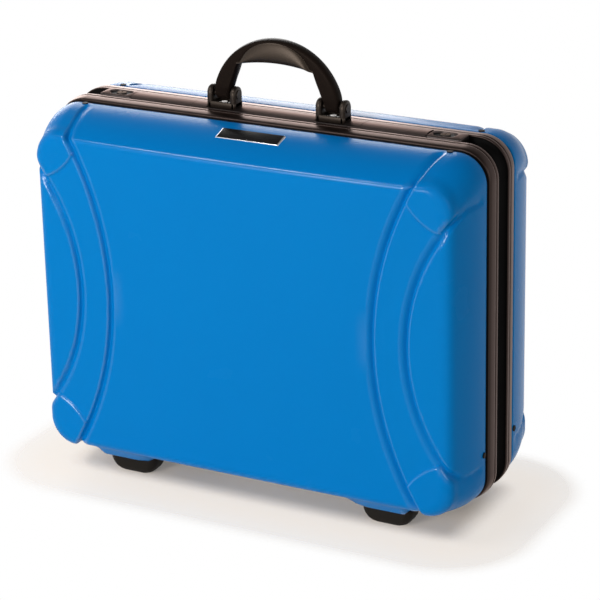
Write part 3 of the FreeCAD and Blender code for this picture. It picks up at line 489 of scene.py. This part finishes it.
def pad_rise(x, depth, z):
    """Height of the corner pads at a point."""
    corner = math.hypot(HALF - abs(x), min(z - LOW, HIGH - z))
    inside = 1 - smooth_step(PAD_REACH - PAD_EDGE, PAD_REACH + PAD_EDGE, corner)
    return PAD_RISE * inside * smooth_step(*PAD_FADE, depth)


def boss_share(x, depth):
    """Share of a foot boss at a place under the shell."""
    across = 1 - smooth_step(*BOSS_HALF, abs(abs(x) - FOOT_X))
    along = smooth_step(*BOSS_DEPTH[:2], depth) * (1 - smooth_step(*BOSS_DEPTH[2:], depth))
    return across * along


def soft_normals(bm, rounds):
    """Vertex normals averaged with their neighbours, so that relief bends evenly round sharp edges."""
    bm.verts.index_update()
    near = [[edge.other_vert(vert).index for edge in vert.link_edges] for vert in bm.verts]
    normals = [vert.normal.copy() for vert in bm.verts]
    for _ in range(rounds):
        normals = [sum((normals[k] for k in ring), normals[i]).normalized() for i, ring in enumerate(near)]
    return normals


def mark_edges(bm, normals):
    """Polish attribute that is high where the skin bends outwards, but not on the side walls."""
    polish = bm.verts.layers.float.new("polish")
    for vert, broad in zip(bm.verts, normals):
        steps = [edge.other_vert(vert).co - vert.co for edge in vert.link_edges]
        bend = -sum(2 * step.dot(vert.normal) / step.length_squared for step in steps) / len(steps)
        vert[polish] = smooth_step(*POLISH_BEND, bend) * (1 - smooth_step(*POLISH_SIDE, abs(broad.x)))


def shell_mesh(side):
    """Pressed shell as an open skin whose wall thickness comes later."""
    bm = bmesh.new()
    run = bm.verts.layers.float_vector.new("run")
    turn = bm.verts.layers.float_vector.new("turn")
    trace = bm.verts.layers.float_vector.new("trace")
    wide, high = len(COLUMNS) - 1, len(ROWS) - 1
    bmesh.ops.create_grid(bm, x_segments=wide, y_segments=high, size=1.0)

    def spot_of(vert):
        return (*vert[run][:2], *vert[turn][:2])

    for vert in bm.verts:
        fx, p = COLUMNS[round((vert.co.x + 1) / 2 * wide)]
        fz, q = ROWS[round((vert.co.y + 1) / 2 * high)]
        vert[run] = (fx, fz, 0)
        vert[turn] = (p * math.sqrt(1 - q * q / 2), q * math.sqrt(1 - p * p / 2), 0)
        x, _, z = edge_place(spot_of(vert), 0.0)
        vert.co = (x, face_depth(x), z)
        vert[trace] = (x, z, 1)
    last = [edge for edge in bm.edges if edge.is_boundary]
    rows = [(edge_place, k / EDGE_STEPS) for k in range(1, EDGE_STEPS + 1)]
    rows += [(wall_place, k / WALL_STEPS) for k in range(1, WALL_STEPS)]
    rows += [(wall_place, LAST_WALL)] + [(curl_place, drop) for drop in CURL_DEPTHS]
    for place, share in rows:
        fresh, last = grow(bm, last)
        for vert in fresh:
            spot = spot_of(vert)
            vert.co = place(spot, share)
            if place is edge_place:
                vert[trace] = (vert.co.x, vert.co.z, 1)
                continue
            level = upright(spot)
            depth = blend(GROOVE_WALL["side"], GROOVE_WALL["top"], level)
            along = edge_place(spot, 1.0)
            start = min(1.0, share * DEPTH_PACE)
            shift = SIDE_SHIFT * (1 - level) * min(1.0, share * SHIFT_PACE)
            reach = along[0] + math.copysign(shift, along[0])
            vert[trace] = (reach, blend(vert.co.z, along[2], level), blend(1.0, depth, start))
    bm.normal_update()
    if sum(face.normal.y * face.calc_area() for face in bm.faces) < 0:
        bmesh.ops.reverse_faces(bm, faces=bm.faces)
    bm.normal_update()
    normals = soft_normals(bm, NORMAL_ROUNDS)
    moves = []
    for vert, normal in zip(bm.verts, normals):
        x, depth, z = vert.co
        sunk = groove_drop(*vert[trace][:2]) * vert[trace][2] * smooth_step(*GROOVE_END, depth)
        padded = smooth_step(*PAD_START, arc_side(ARCS[0], *vert[trace][:2]))
        padded *= 1 - smooth_step(*PAD_STOP, arc_side(ARCS[1], *vert[trace][:2]))
        moves.append(normal * (pad_rise(x, depth, z) * padded - sunk))
        if normal.z < UNDERSIDE:
            moves[-1].z += (BOSS_Z - z) * boss_share(x, depth)
    for vert, move in zip(bm.verts, moves):
        vert.co += move
        vert.co.y = side * (vert.co.y + SEAM_Y)
    if side < 0:
        bmesh.ops.reverse_faces(bm, faces=bm.faces)
    bm.normal_update()
    mark_edges(bm, normals)
    return bm


def add_shell(name, side, body):
    """One shell with its wall thickness."""
    piece = make_piece(name + "_pressed", shell_mesh(side), [blue_shell], body, (name,),
                       closed=False)
    wall = piece.modifiers.new("wall", "SOLIDIFY")
    wall.thickness = SHELL_WALL * MM
    wall.offset = -1.0
    return piece


add_shell("front_shell", -1, "lid_half")
add_shell("back_shell", 1, "base_half")

# Rims: a rolled section swept round the case
RIM_SPOTS = corner_spots(20)
RIM_FLANGE = [(31.9, -2.4), (28.3, -2.4), (28.1, 0.3), (27.7, 1.1), (26.8, 1.7), (24.8, 2.2), (21.8, 2.6),
              (18.9, 2.85), (17.6, 2.95), (17.1, 2.6), (16.95, 1.7), (16.05, 1.7), (15.98, 2.7), (15.7, 3.0),
              (15.1, 3.1), (12.6, 3.1), (11.9, 2.95), (11.55, 2.5), (11.5, 1.9)]
RIM_SKIRT = [(39.9, -6.0), (39.9, -4.4), (31.9, -4.4)]
FRONT_SECTION = RIM_FLANGE + [(11.5, -3.9), (11.6, -6.0)] + RIM_SKIRT
BACK_SECTION = RIM_FLANGE + [(11.5, -4.0), (-11.2, -4.0), (-11.2, -6.0)] + RIM_SKIRT


def rim_place(side, y, rise):
    """Place function for one line of the rim's section."""
    radius = SEAM_ROUND + rise

    def place(i):
        x, z = on_outline(RIM_SPOTS[i], -rise, -rise, -rise, radius)
        return Vector((x, side * y, z))

    return place


def add_rim(name, side, section, body):
    """Swept rim of one half."""
    bm = bmesh.new()
    # The seam gap, the channel and the hidden faces inside take the painted shade black.
    inside = [1 if k < 2 or k >= len(RIM_FLANGE) - 1 else 0 for k in range(len(section) - 1)]
    places = [rim_place(side, y, rise) for y, rise in section]
    ring_stack(bm, len(RIM_SPOTS), places, closed=True, materials=inside)
    return make_piece(name + "_rolled", bm, [rim_metal, channel_painted_shade], body, (name,))


add_rim("front_rim", -1, FRONT_SECTION, "lid_half")
add_rim("back_rim", 1, BACK_SECTION, "base_half")

# Lock bezels and buttons on top of the rim
PLATE_SPOTS = corner_spots(10)


def crown_z(y):
    """Height of the rounded strip at a distance from its middle line."""
    return STRIP_TOP - (STRIP_BEND - math.sqrt(STRIP_BEND ** 2 - y * y))


def plate_place(x_mid, y_mid, half_x, half_y, radius, height):
    """Place function for a level rounded rectangle; height is a number or a function of Y."""
    def place(i):
        fx, fy, ex, ey = PLATE_SPOTS[i]
        x = x_mid + fx * (half_x - radius) + ex * radius
        y = y_mid + fy * (half_y - radius) + ey * radius
        return Vector((x, y, height(y) if callable(height) else height))

    return place


BEZEL_START = 162.2
BEZEL_END = 198.0
BEZEL_ROUND = 2.5
RECESS_HALF = (12.5, 7.5)
RECESS_DROP = 2.0
BUTTON_RISE = 1.2


def sunk_crown(drop):
    """Height function of a line below the strip's rounded top."""
    return lambda y: crown_z(y) - drop


def add_bezel(hand, word):
    """Lock bezel with an oval finger recess round its button."""
    bm = bmesh.new()
    x_mid = hand * (BEZEL_START + BEZEL_END) / 2
    half = (BEZEL_END - BEZEL_START) / 2
    lock = hand * LOCK_X
    places = [plate_place(x_mid, 0, half, STRIP_FRONT, BEZEL_ROUND, CHANNEL_Z)]
    for inset, drop in ((0.0, 0.8), (0.2, 0.3), (0.6, 0.05), (1.2, 0.0)):
        places.append(plate_place(x_mid, 0, half - inset, STRIP_FRONT - inset, BEZEL_ROUND - inset,
                                  sunk_crown(drop)))
    for out, drop in ((0.9, 0.0), (0.4, 0.06), (0.1, 0.35), (0.0, 0.8), (-0.2, 1.7), (-0.8, 2.0)):
        long, wide = (reach + out for reach in RECESS_HALF)
        places.append(plate_place(lock, 0, long, wide, wide, sunk_crown(drop)))
    for radius, drop in ((5.6, RECESS_DROP), (5.2, 2.2), (5.15, 4.0)):
        places.append(plate_place(lock, 0, radius, radius, radius, STRIP_TOP - drop))
    # The recess floor and the bore take the painted shade black.
    recess = len(places) - 5
    ring_stack(bm, len(PLATE_SPOTS), places, materials=[int(k >= recess) for k in range(len(places) - 1)])
    make_piece("lock_bezel_%s_soft" % word, bm, [strip_metal, channel_painted_shade], "base_half",
               ("lock_bezel_" + word,))


def add_button(hand, word):
    """Push button with a rolled edge and a bore for the key core."""
    bm = bmesh.new()
    lock = hand * LOCK_X
    top = STRIP_TOP - RECESS_DROP + BUTTON_RISE
    steps = ((4.6, top - 5.2), (5.0, top - 4.6), (5.0, top - 0.8), (4.85, top - 0.3), (4.4, top), (3.7, top),
             (3.3, top - 0.25), (3.08, top - 0.3), (3.06, top - 3.9))
    ring_stack(bm, len(PLATE_SPOTS), [plate_place(lock, 0, r, r, r, z) for r, z in steps])
    make_piece("lock_button_%s_turned" % word, bm, [lock_nickel], "button_" + word,
               ("lock_button_" + word,))


for hand, word in ((-1, "left"), (1, "right")):
    add_bezel(hand, word)
    add_button(hand, word)


# Handle: a swept arch, with a padded grip set into its top
ARCH_Z = 387.0
ARCH_OUT = 70.8
LEG_LINE = (52.08, 0.947, 0.3216)
GRIP_LOW = 46.3
GRIP_BOW = 187.0
GRIP_START = 46.5
GRIP_BLEND = (-1.0, 6.0)
GRIP_SWELL = 2.6
GRIP_STEPS = 18
GRIP_POINTS = 22
FIRST_PAD_POINT = 5
ARCH_START = 18.0
GRIP_CORNER = (44.0, 45.7, 47.4)
LEG_HALF = 8.2
LEG_END = 5.6
LEG_NECK = (8.9, 9.9, 402.5, 6.3)
LEG_TIP = ((5.4, 0.3), (4.4, 0.62), (2.4, 0.9), (0.0, 1.0))
LEG_SEAM = 6.0
ARCH_HALF_WIDTH = 6.9
SEAM_NEAR = 3.0
SEAM_SPREAD = 10.5
SEAM_CURVE = 2.4


def inner_reach(angle):
    """Distance from the arch's centre to its inner edge: the padded grip's underside, or the leg."""
    leg = LEG_LINE[0] / (LEG_LINE[1] * math.cos(angle) + LEG_LINE[2] * math.sin(angle))
    reach = leg
    for _ in range(12):
        level = GRIP_LOW - (reach * math.cos(angle)) ** 2 / (2 * GRIP_BOW)
        reach = min(leg, level / math.sin(angle))
    return reach


def seam_reach(degrees):
    """Distance from the outer edge to the seam over the padded grip."""
    return SEAM_NEAR + SEAM_SPREAD * ((90 - degrees) / (90 - GRIP_START)) ** SEAM_CURVE


def grip_stations():
    """Outer point, inner point, half width, seam distance and swell along the handle, from leg to leg."""
    half = []
    for drop, share in LEG_TIP:
        outer = (BRACKET_X + LEG_HALF, PIN_Z - drop)
        inner = (BRACKET_X - LEG_HALF, PIN_Z - drop)
        half.append((outer, inner, LEG_END * share, LEG_SEAM, 0.0))
    out, back, level, width = LEG_NECK
    half.append(((BRACKET_X + out, level), (BRACKET_X - back, level), width, LEG_SEAM, 0.0))
    turns = [blend(ARCH_START, 90.0, k / GRIP_STEPS) for k in range(GRIP_STEPS + 1)]
    turns = sorted(turns + list(GRIP_CORNER))
    for degrees in turns:
        angle = math.radians(degrees)
        padded = smooth_step(*GRIP_BLEND, degrees - GRIP_START)
        seam = seam_reach(degrees) if degrees > GRIP_START else SEAM_NEAR + SEAM_SPREAD
        spot = [(r * math.cos(angle), ARCH_Z + r * math.sin(angle)) for r in (ARCH_OUT, inner_reach(angle))]
        half.append((spot[0], spot[1], ARCH_HALF_WIDTH, seam, padded))
    other = [((-a[0], a[1]), (-b[0], b[1]), *rest) for a, b, *rest in reversed(half[:-1])]
    return half + other


def grip_section(reach, width, seam, padded):
    """Half of the handle's section as points of distance from the middle and width."""
    seam = min(seam, 2 * reach - 3.0)
    line = reach - seam
    full = width + GRIP_SWELL * padded
    belly = 2 * reach - seam
    back = [(reach, 0.0), (reach - 0.25, width * 0.45), (reach - 1.0, width * 0.8),
            (reach - min(2.4, seam * 0.7), width)]
    joint = [(line + 0.5, width + 0.05 * padded), (line, width - 0.8 * padded),
             (line - 0.5, width + 0.2 * padded)]
    pad = [(line - belly * 0.28, blend(width, full, 0.68)), (line - belly * 0.62, full),
           (-reach + 2.2, blend(width, full, 0.5) * 0.95), (-reach + 0.7, width * 0.66), (-reach, 0.0)]
    return back + joint + pad


def grip_place(outer, inner, width, seam, padded):
    """Place function for one section of the handle."""
    outer, inner = Vector((outer[0], 0, outer[1])), Vector((inner[0], 0, inner[1]))
    middle = (outer + inner) / 2
    out = (outer - inner).normalized()
    half = grip_section((outer - inner).length / 2, width, seam, padded)
    loop = half + [(a, -b) for a, b in reversed(half[1:-1])]

    def place(i):
        return middle + out * loop[i][0] + Vector((0, loop[i][1], 0))

    return place


def add_grip():
    """Handle that hangs on both pins."""
    bm = bmesh.new()
    rows = [grip_place(*row) for row in grip_stations()]
    ring_stack(bm, GRIP_POINTS, rows)
    turn = bm.verts.layers.int.get("turn")
    for face in bm.faces:
        middle = face.calc_center_median()
        padded = math.degrees(math.atan2(middle.z - ARCH_Z, abs(middle.x))) > GRIP_START
        around = [min(vert[turn], GRIP_POINTS - vert[turn]) for vert in face.verts]
        if padded and min(around) >= FIRST_PAD_POINT:
            face.material_index = 1
    piece = make_piece("handle_grip_moulded", bm, [handle_plastic, grip_pad], "handle",
                       ("handle_grip",))
    smooth = piece.modifiers.new("smooth", "SUBSURF")
    smooth.levels = smooth.render_levels = 2
    return piece


add_grip()


# Handle brackets: a foot plate with two round-topped ears
EAR_THICK = 6.0
BRACKET_HALF = 15.75
BRACKET_LOW = STRIP_TOP - 1.8
EAR_RADIUS = 8.0
EAR_STEPS = 16
FLAT_STEPS = 4
FLOOR_ROUND = 1.6


def ear_place(x, inset):
    """Place function for the side outline of an ear."""
    radius = EAR_RADIUS - inset

    def place(i):
        if i <= EAR_STEPS:
            angle = math.pi * i / EAR_STEPS
            return Vector((x, radius * math.cos(angle), PIN_Z + radius * math.sin(angle)))
        share = (i - EAR_STEPS) / FLAT_STEPS
        if share <= 1:
            return Vector((x, -radius, blend(PIN_Z, BRACKET_LOW + inset, share)))
        if share <= 2:
            return Vector((x, blend(-radius, radius, share - 1), BRACKET_LOW + inset))
        return Vector((x, radius, blend(BRACKET_LOW + inset, PIN_Z, share - 2)))

    return place


def add_bracket(hand, word):
    """Clevis that carries one leg of the handle."""
    bm = bmesh.new()
    middle = hand * BRACKET_X
    for end in (-1, 1):
        inner = middle + end * (BRACKET_HALF - EAR_THICK)
        outer = middle + end * BRACKET_HALF
        low, high = sorted((inner, outer))
        rows = [(low, 2.2), (low + 0.25, 1.1), (low + 0.9, 0.35), (low + 2.0, 0.0), (high - 2.0, 0.0),
                (high - 0.9, 0.35), (high - 0.25, 1.1), (high, 2.2)]
        ring_stack(bm, EAR_STEPS + 3 * FLAT_STEPS, [ear_place(x, inset) for x, inset in rows])
    floor = [(BRACKET_HALF - 0.4, EAR_RADIUS - 0.4, 0.0), (BRACKET_HALF, EAR_RADIUS, 0.5),
             (BRACKET_HALF, EAR_RADIUS, 5.2), (BRACKET_HALF - 0.4, EAR_RADIUS - 0.4, 6.0),
             (BRACKET_HALF - 1.2, EAR_RADIUS - 1.2, 6.3), (BRACKET_HALF - 2.0, EAR_RADIUS - 2.0, 6.2),
             (BRACKET_HALF - 2.6, EAR_RADIUS - 2.6, 5.6), (BRACKET_HALF - 3.0, EAR_RADIUS - 3.0, 4.0)]
    places = [plate_place(middle, 0, a, b, FLOOR_ROUND, BRACKET_LOW + z) for a, b, z in floor]
    ring_stack(bm, len(PLATE_SPOTS), places)
    make_piece("handle_bracket_%s_moulded" % word, bm, [bracket_plastic], "base_half",
               ("handle_bracket_" + word,))


# Rubber feet, narrower towards the floor: half sizes, corner radius and height of each level
FOOT_LEVELS = ((27.6, 15.2, 9.0, 20.7), (27.4, 15.1, 9.0, 17.5), (26.6, 14.7, 9.0, 13.0),
               (25.2, 14.0, 8.5, 9.0), (22.8, 12.8, 8.0, 5.0), (19.6, 11.0, 7.5, 2.0),
               (16.6, 9.2, 7.0, 0.5), (13.6, 7.4, 6.0, 0.0))


def add_foot(hand, word, side, half_word, body):
    """One rubber foot under a boss."""
    bm = bmesh.new()
    ring_stack(bm, len(PLATE_SPOTS), [plate_place(hand * FOOT_X, side * FOOT_Y, a, b, r, z)
                                      for a, b, r, z in FOOT_LEVELS])
    name = "%s_foot_%s" % (half_word, word)
    make_piece(name + "_moulded", bm, [foot_rubber], body, (name,))


for hand, word in ((-1, "left"), (1, "right")):
    add_bracket(hand, word)
    add_foot(hand, word, -1, "front", "lid_half")
    add_foot(hand, word, 1, "back", "base_half")

# Label plate on the sloping top of the lid: half sizes and height of each level
LABEL_LEVELS = ((34.4, 8.2, -1.6), (34.5, 8.25, -1.2), (34.5, 8.25, -0.1), (33.2, 8.05, 0.75),
                (32.9, 8.0, 0.8))
LABEL_ROUND = 0.6
LABEL_TILT = 17.0
LABEL_SPOT = (1.5, -60.4, 376.4)


def add_label():
    """Bare plate with a bright sloping edge."""
    bm = bmesh.new()
    places = [plate_place(0, 0, a, b, LABEL_ROUND, z) for a, b, z in LABEL_LEVELS]
    ring_stack(bm, len(PLATE_SPOTS), places, materials=(1, 1, 1, 1))
    turn = Matrix.Translation(LABEL_SPOT) @ Matrix.Rotation(math.radians(LABEL_TILT), 4, "X")
    bmesh.ops.transform(bm, matrix=turn, verts=bm.verts)
    make_piece("label_plate_bevelled", bm, [plate_black, plate_edge], "lid_half",
               ("label_plate",))


add_label()

# Posts behind the panel in the lid, which the pressed shell carries
POST_SPOTS = ((-196.0, 67.5), (196.0, 67.5), (-196.0, 329.5), (196.0, 329.5))
POST_RINGS = ((6.0, 79.05), (6.0, 83.0), (6.5, 85.0), (8.0, 86.2), (8.2, 87.6))
POST_STEPS = 32


def post_place(x, z, radius, y):
    """Place function for one ring of a post."""
    def place(i):
        angle = math.tau * i / POST_STEPS
        return Vector((x + radius * math.cos(angle), -y, z + radius * math.sin(angle)))

    return place


def add_posts():
    """Four round posts with a flared foot on the shell."""
    bm = bmesh.new()
    for x, z in POST_SPOTS:
        ring_stack(bm, POST_STEPS, [post_place(x, z, *ring) for ring in POST_RINGS])
    make_piece("lid_panel_posts", bm, [blue_shell], "lid_half")


add_posts()

# Finishes of the solids that show as they are
CAD_FINISH = {
    "top_strip": strip_metal, "latch_lever_left": strip_metal, "latch_lever_right": strip_metal,
    "lock_core_left": lock_nickel, "lock_core_right": lock_nickel,
    "handle_core": hinge_steel, "handle_pin_left": bracket_plastic, "handle_pin_right": bracket_plastic,
    "bracket_screws": bracket_plastic, "latch_pin_left": hinge_steel, "latch_pin_right": hinge_steel,
    "latch_keeper_left": hinge_steel, "latch_keeper_right": hinge_steel,
    "hinge_leaf_base_left": hinge_steel, "hinge_leaf_base_right": hinge_steel,
    "hinge_leaf_lid_left": hinge_steel, "hinge_leaf_lid_right": hinge_steel,
    "hinge_pin_left": hinge_steel, "hinge_pin_right": hinge_steel, "hinge_rivets": rivet_dark,
    "front_rivets": rivet_dark, "back_rivets": rivet_dark, "panel_screws": hinge_steel,
    "front_foot_screws": hinge_steel, "back_foot_screws": hinge_steel,
    "lid_panel": panel_plastic, "pocket_row_lower": pocket_plastic, "pocket_row_upper": pocket_plastic,
    "base_divider_long": panel_plastic, "base_dividers_short": panel_plastic,
}
for name, material in CAD_FINISH.items():
    solid = nodes[name]
    for slot in solid.material_slots:
        slot.material = material


# Floor, light and camera, in metres
FLOOR_HALF = 12.0
FLOOR_COLOUR = (1.0, 0.85, 0.72, 1)
# Warm tint of the clear floor near the case: painted warm shade round the case, fading to white further out.
PAINTED_SHADE_NEAR = (1.0, 0.95, 0.9, 1)
CLEAR_FAR = (1.0, 1.0, 1.0, 1)
FOOTPRINT = (0.2, 0.05, 0.0)
NEAR_FADE = (0.0, 0.035, 0.15, 0.7)
FAR_FADE = (0.04, 0.105, 0.0, 1.0)
BELOW_REACH = 0.5
BELOW_FADE = (0.75, 0.97, 1.0, 0.0)


def math_node(tree, operation, *values):
    """Math node; each value is a number or an output to link."""
    node = tree.nodes.new("ShaderNodeMath")
    node.operation = operation
    for socket, value in zip(node.inputs, values):
        if isinstance(value, (int, float)):
            socket.default_value = value
        else:
            tree.links.new(value, socket)
    return node.outputs["Value"]


def vector_node(tree, operation, start, other=None):
    """Vector math node on an output and a fixed vector."""
    node = tree.nodes.new("ShaderNodeVectorMath")
    node.operation = operation
    tree.links.new(start, node.inputs[0])
    if other:
        node.inputs[1].default_value = other
    return node


def soft_span(tree, value, low, high, to_low, to_high):
    """Smooth change of a number between two limits."""
    node = tree.nodes.new("ShaderNodeMapRange")
    node.interpolation_type = "SMOOTHSTEP"
    tree.links.new(value, node.inputs["Value"])
    for label, number in (("From Min", low), ("From Max", high), ("To Min", to_low), ("To Max", to_high)):
        node.inputs[label].default_value = number
    return node.outputs["Result"]


def seen_rays(tree):
    """1 for rays from the eye, from gloss and through glass."""
    path = tree.nodes.new("ShaderNodeLightPath")
    seen = math_node(tree, "MAXIMUM", path.outputs["Is Camera Ray"], path.outputs["Is Glossy Ray"])
    return math_node(tree, "MAXIMUM", seen, path.outputs["Is Transmission Ray"])


def mix_shaders(tree, share, first, second, output):
    """Mix of two shaders into the output of a tree."""
    mix = tree.nodes.new("ShaderNodeMixShader")
    tree.links.new(share, mix.inputs["Fac"])
    tree.links.new(first, mix.inputs[1])
    tree.links.new(second, mix.inputs[2])
    tree.links.new(mix.outputs["Shader"], tree.nodes[output].inputs["Surface"])


def add_floor():
    """Pale warm floor that clears away from the case and over an opened lid; near the case its clear part
    carries a painted warm shade.
    """
    bm = bmesh.new()
    bmesh.ops.create_grid(bm, x_segments=8, y_segments=8, size=FLOOR_HALF)
    mesh = bpy.data.meshes.new("floor")
    bm.to_mesh(mesh)
    bm.free()
    floor = bpy.data.objects.new("floor", mesh)
    scene.collection.objects.link(floor)
    material = bpy.data.materials.new("pale_floor")
    material.use_nodes = True
    tree = material.node_tree
    shader = tree.nodes["Principled BSDF"]
    shader.inputs["Base Color"].default_value = FLOOR_COLOUR
    shader.inputs["Roughness"].default_value = 0.5
    shader.inputs["Specular IOR Level"].default_value = 0.1
    place = tree.nodes.new("ShaderNodeTexCoord")
    spread = vector_node(tree, "ABSOLUTE", place.outputs["Object"])
    beyond = vector_node(tree, "SUBTRACT", spread.outputs["Vector"], FOOTPRINT)
    outside = vector_node(tree, "MAXIMUM", beyond.outputs["Vector"], (0.0, 0.0, 0.0))
    reach = vector_node(tree, "LENGTH", outside.outputs["Vector"])
    near = soft_span(tree, reach.outputs["Value"], *NEAR_FADE)
    far = soft_span(tree, reach.outputs["Value"], *FAR_FADE)
    below = tree.nodes.new("ShaderNodeAmbientOcclusion")
    below.inside = True
    below.inputs["Distance"].default_value = BELOW_REACH
    opened = soft_span(tree, below.outputs["AO"], *BELOW_FADE)
    fade = math_node(tree, "MAXIMUM", math_node(tree, "MAXIMUM", near, far), opened)
    clear = tree.nodes.new("ShaderNodeBsdfTransparent")
    # Painted warm shade: the clear floor is tinted warm near the case and white further out.
    painted_warm_shade = tree.nodes.new("ShaderNodeMix")
    painted_warm_shade.data_type = "RGBA"
    painted_warm_shade.inputs["A"].default_value = PAINTED_SHADE_NEAR
    painted_warm_shade.inputs["B"].default_value = CLEAR_FAR
    tree.links.new(far, painted_warm_shade.inputs["Factor"])
    tree.links.new(painted_warm_shade.outputs["Result"], clear.inputs["Color"])
    path = tree.nodes.new("ShaderNodeLightPath")
    open_rays = math_node(tree, "MAXIMUM", seen_rays(tree), path.outputs["Is Shadow Ray"])
    share = math_node(tree, "MULTIPLY", fade, open_rays)
    mix_shaders(tree, share, shader.outputs["BSDF"], clear.outputs["BSDF"], "Material Output")
    mesh.materials.append(material)


SKY_COLOUR = (1.0, 0.98, 0.96, 1)
SKY_LIGHT = 0.2
SKY_WHITE = (1.0, 1.0, 1.0, 1)
SKY_FADE = (0.3, 0.75, 1.0, 0.3)


def add_world():
    """Dim light all round; to the eye, gloss and glass it is white low down and dimmer overhead."""
    world = bpy.data.worlds.new("studio")
    scene.world = world
    world.use_nodes = True
    tree = world.node_tree
    soft = tree.nodes["Background"]
    soft.inputs["Color"].default_value = SKY_COLOUR
    soft.inputs["Strength"].default_value = SKY_LIGHT
    white = tree.nodes.new("ShaderNodeBackground")
    white.inputs["Color"].default_value = SKY_WHITE
    place = tree.nodes.new("ShaderNodeTexCoord")
    height = tree.nodes.new("ShaderNodeSeparateXYZ")
    tree.links.new(place.outputs["Generated"], height.inputs["Vector"])
    tree.links.new(soft_span(tree, height.outputs["Z"], *SKY_FADE), white.inputs["Strength"])
    mix_shaders(tree, seen_rays(tree), soft.outputs["Background"], white.outputs["Background"],
                "World Output")


TARGET = Vector((0.0, 0.0, 0.2))

# Soft boxes: place, size, watts and colour
LAMPS = {
    "key_box": ((-0.6, -2.75, 0.85), (1.0, 1.0), 44.0, (1.0, 0.99, 0.97)),
    "rear_box": ((-1.55, 1.95, 0.95), (1.6, 1.4), 32.0, (1.0, 0.985, 0.97)),
    "crest_box": ((-0.945, -1.14, 1.92), (0.9, 0.1), 13.0, (1.0, 0.99, 0.98)),
    "fill_box": ((2.6, -0.6, 0.9), (1.2, 1.2), 10.5, (1.0, 0.99, 0.98)),
}


def add_lamp(name, spot, size, power, colour):
    """Soft box that points at the case."""
    lamp = bpy.data.lights.new(name, "AREA")
    lamp.shape = "RECTANGLE"
    lamp.size, lamp.size_y = size
    lamp.energy = power
    lamp.color = colour
    holder = bpy.data.objects.new(name, lamp)
    holder.location = spot
    holder.rotation_euler = (TARGET - Vector(spot)).to_track_quat("-Z", "Y").to_euler()
    scene.collection.objects.link(holder)


CAMERA_SPOT = (1.1247, -2.05942, 1.07454)
CAMERA_RIGHT = (0.884509, 0.466069, -0.02058)
CAMERA_UP = (-0.147565, 0.321355, 0.935391)
CAMERA_LENS = 150.83


def add_camera():
    """Camera at the photograph's place."""
    camera = bpy.data.cameras.new("camera")
    camera.sensor_width = 36.0
    camera.lens = CAMERA_LENS
    camera.clip_end = 50.0
    holder = bpy.data.objects.new("camera", camera)
    right, up = Vector(CAMERA_RIGHT), Vector(CAMERA_UP)
    turn = Matrix((right, up, right.cross(up))).transposed()
    holder.matrix_world = Matrix.Translation(CAMERA_SPOT) @ turn.to_4x4()
    scene.collection.objects.link(holder)
    scene.camera = holder


add_floor()
add_world()
for name, settings in LAMPS.items():
    add_lamp(name, *settings)
add_camera()
scene.view_settings.view_transform = "Standard"

bpy.context.view_layer.update()
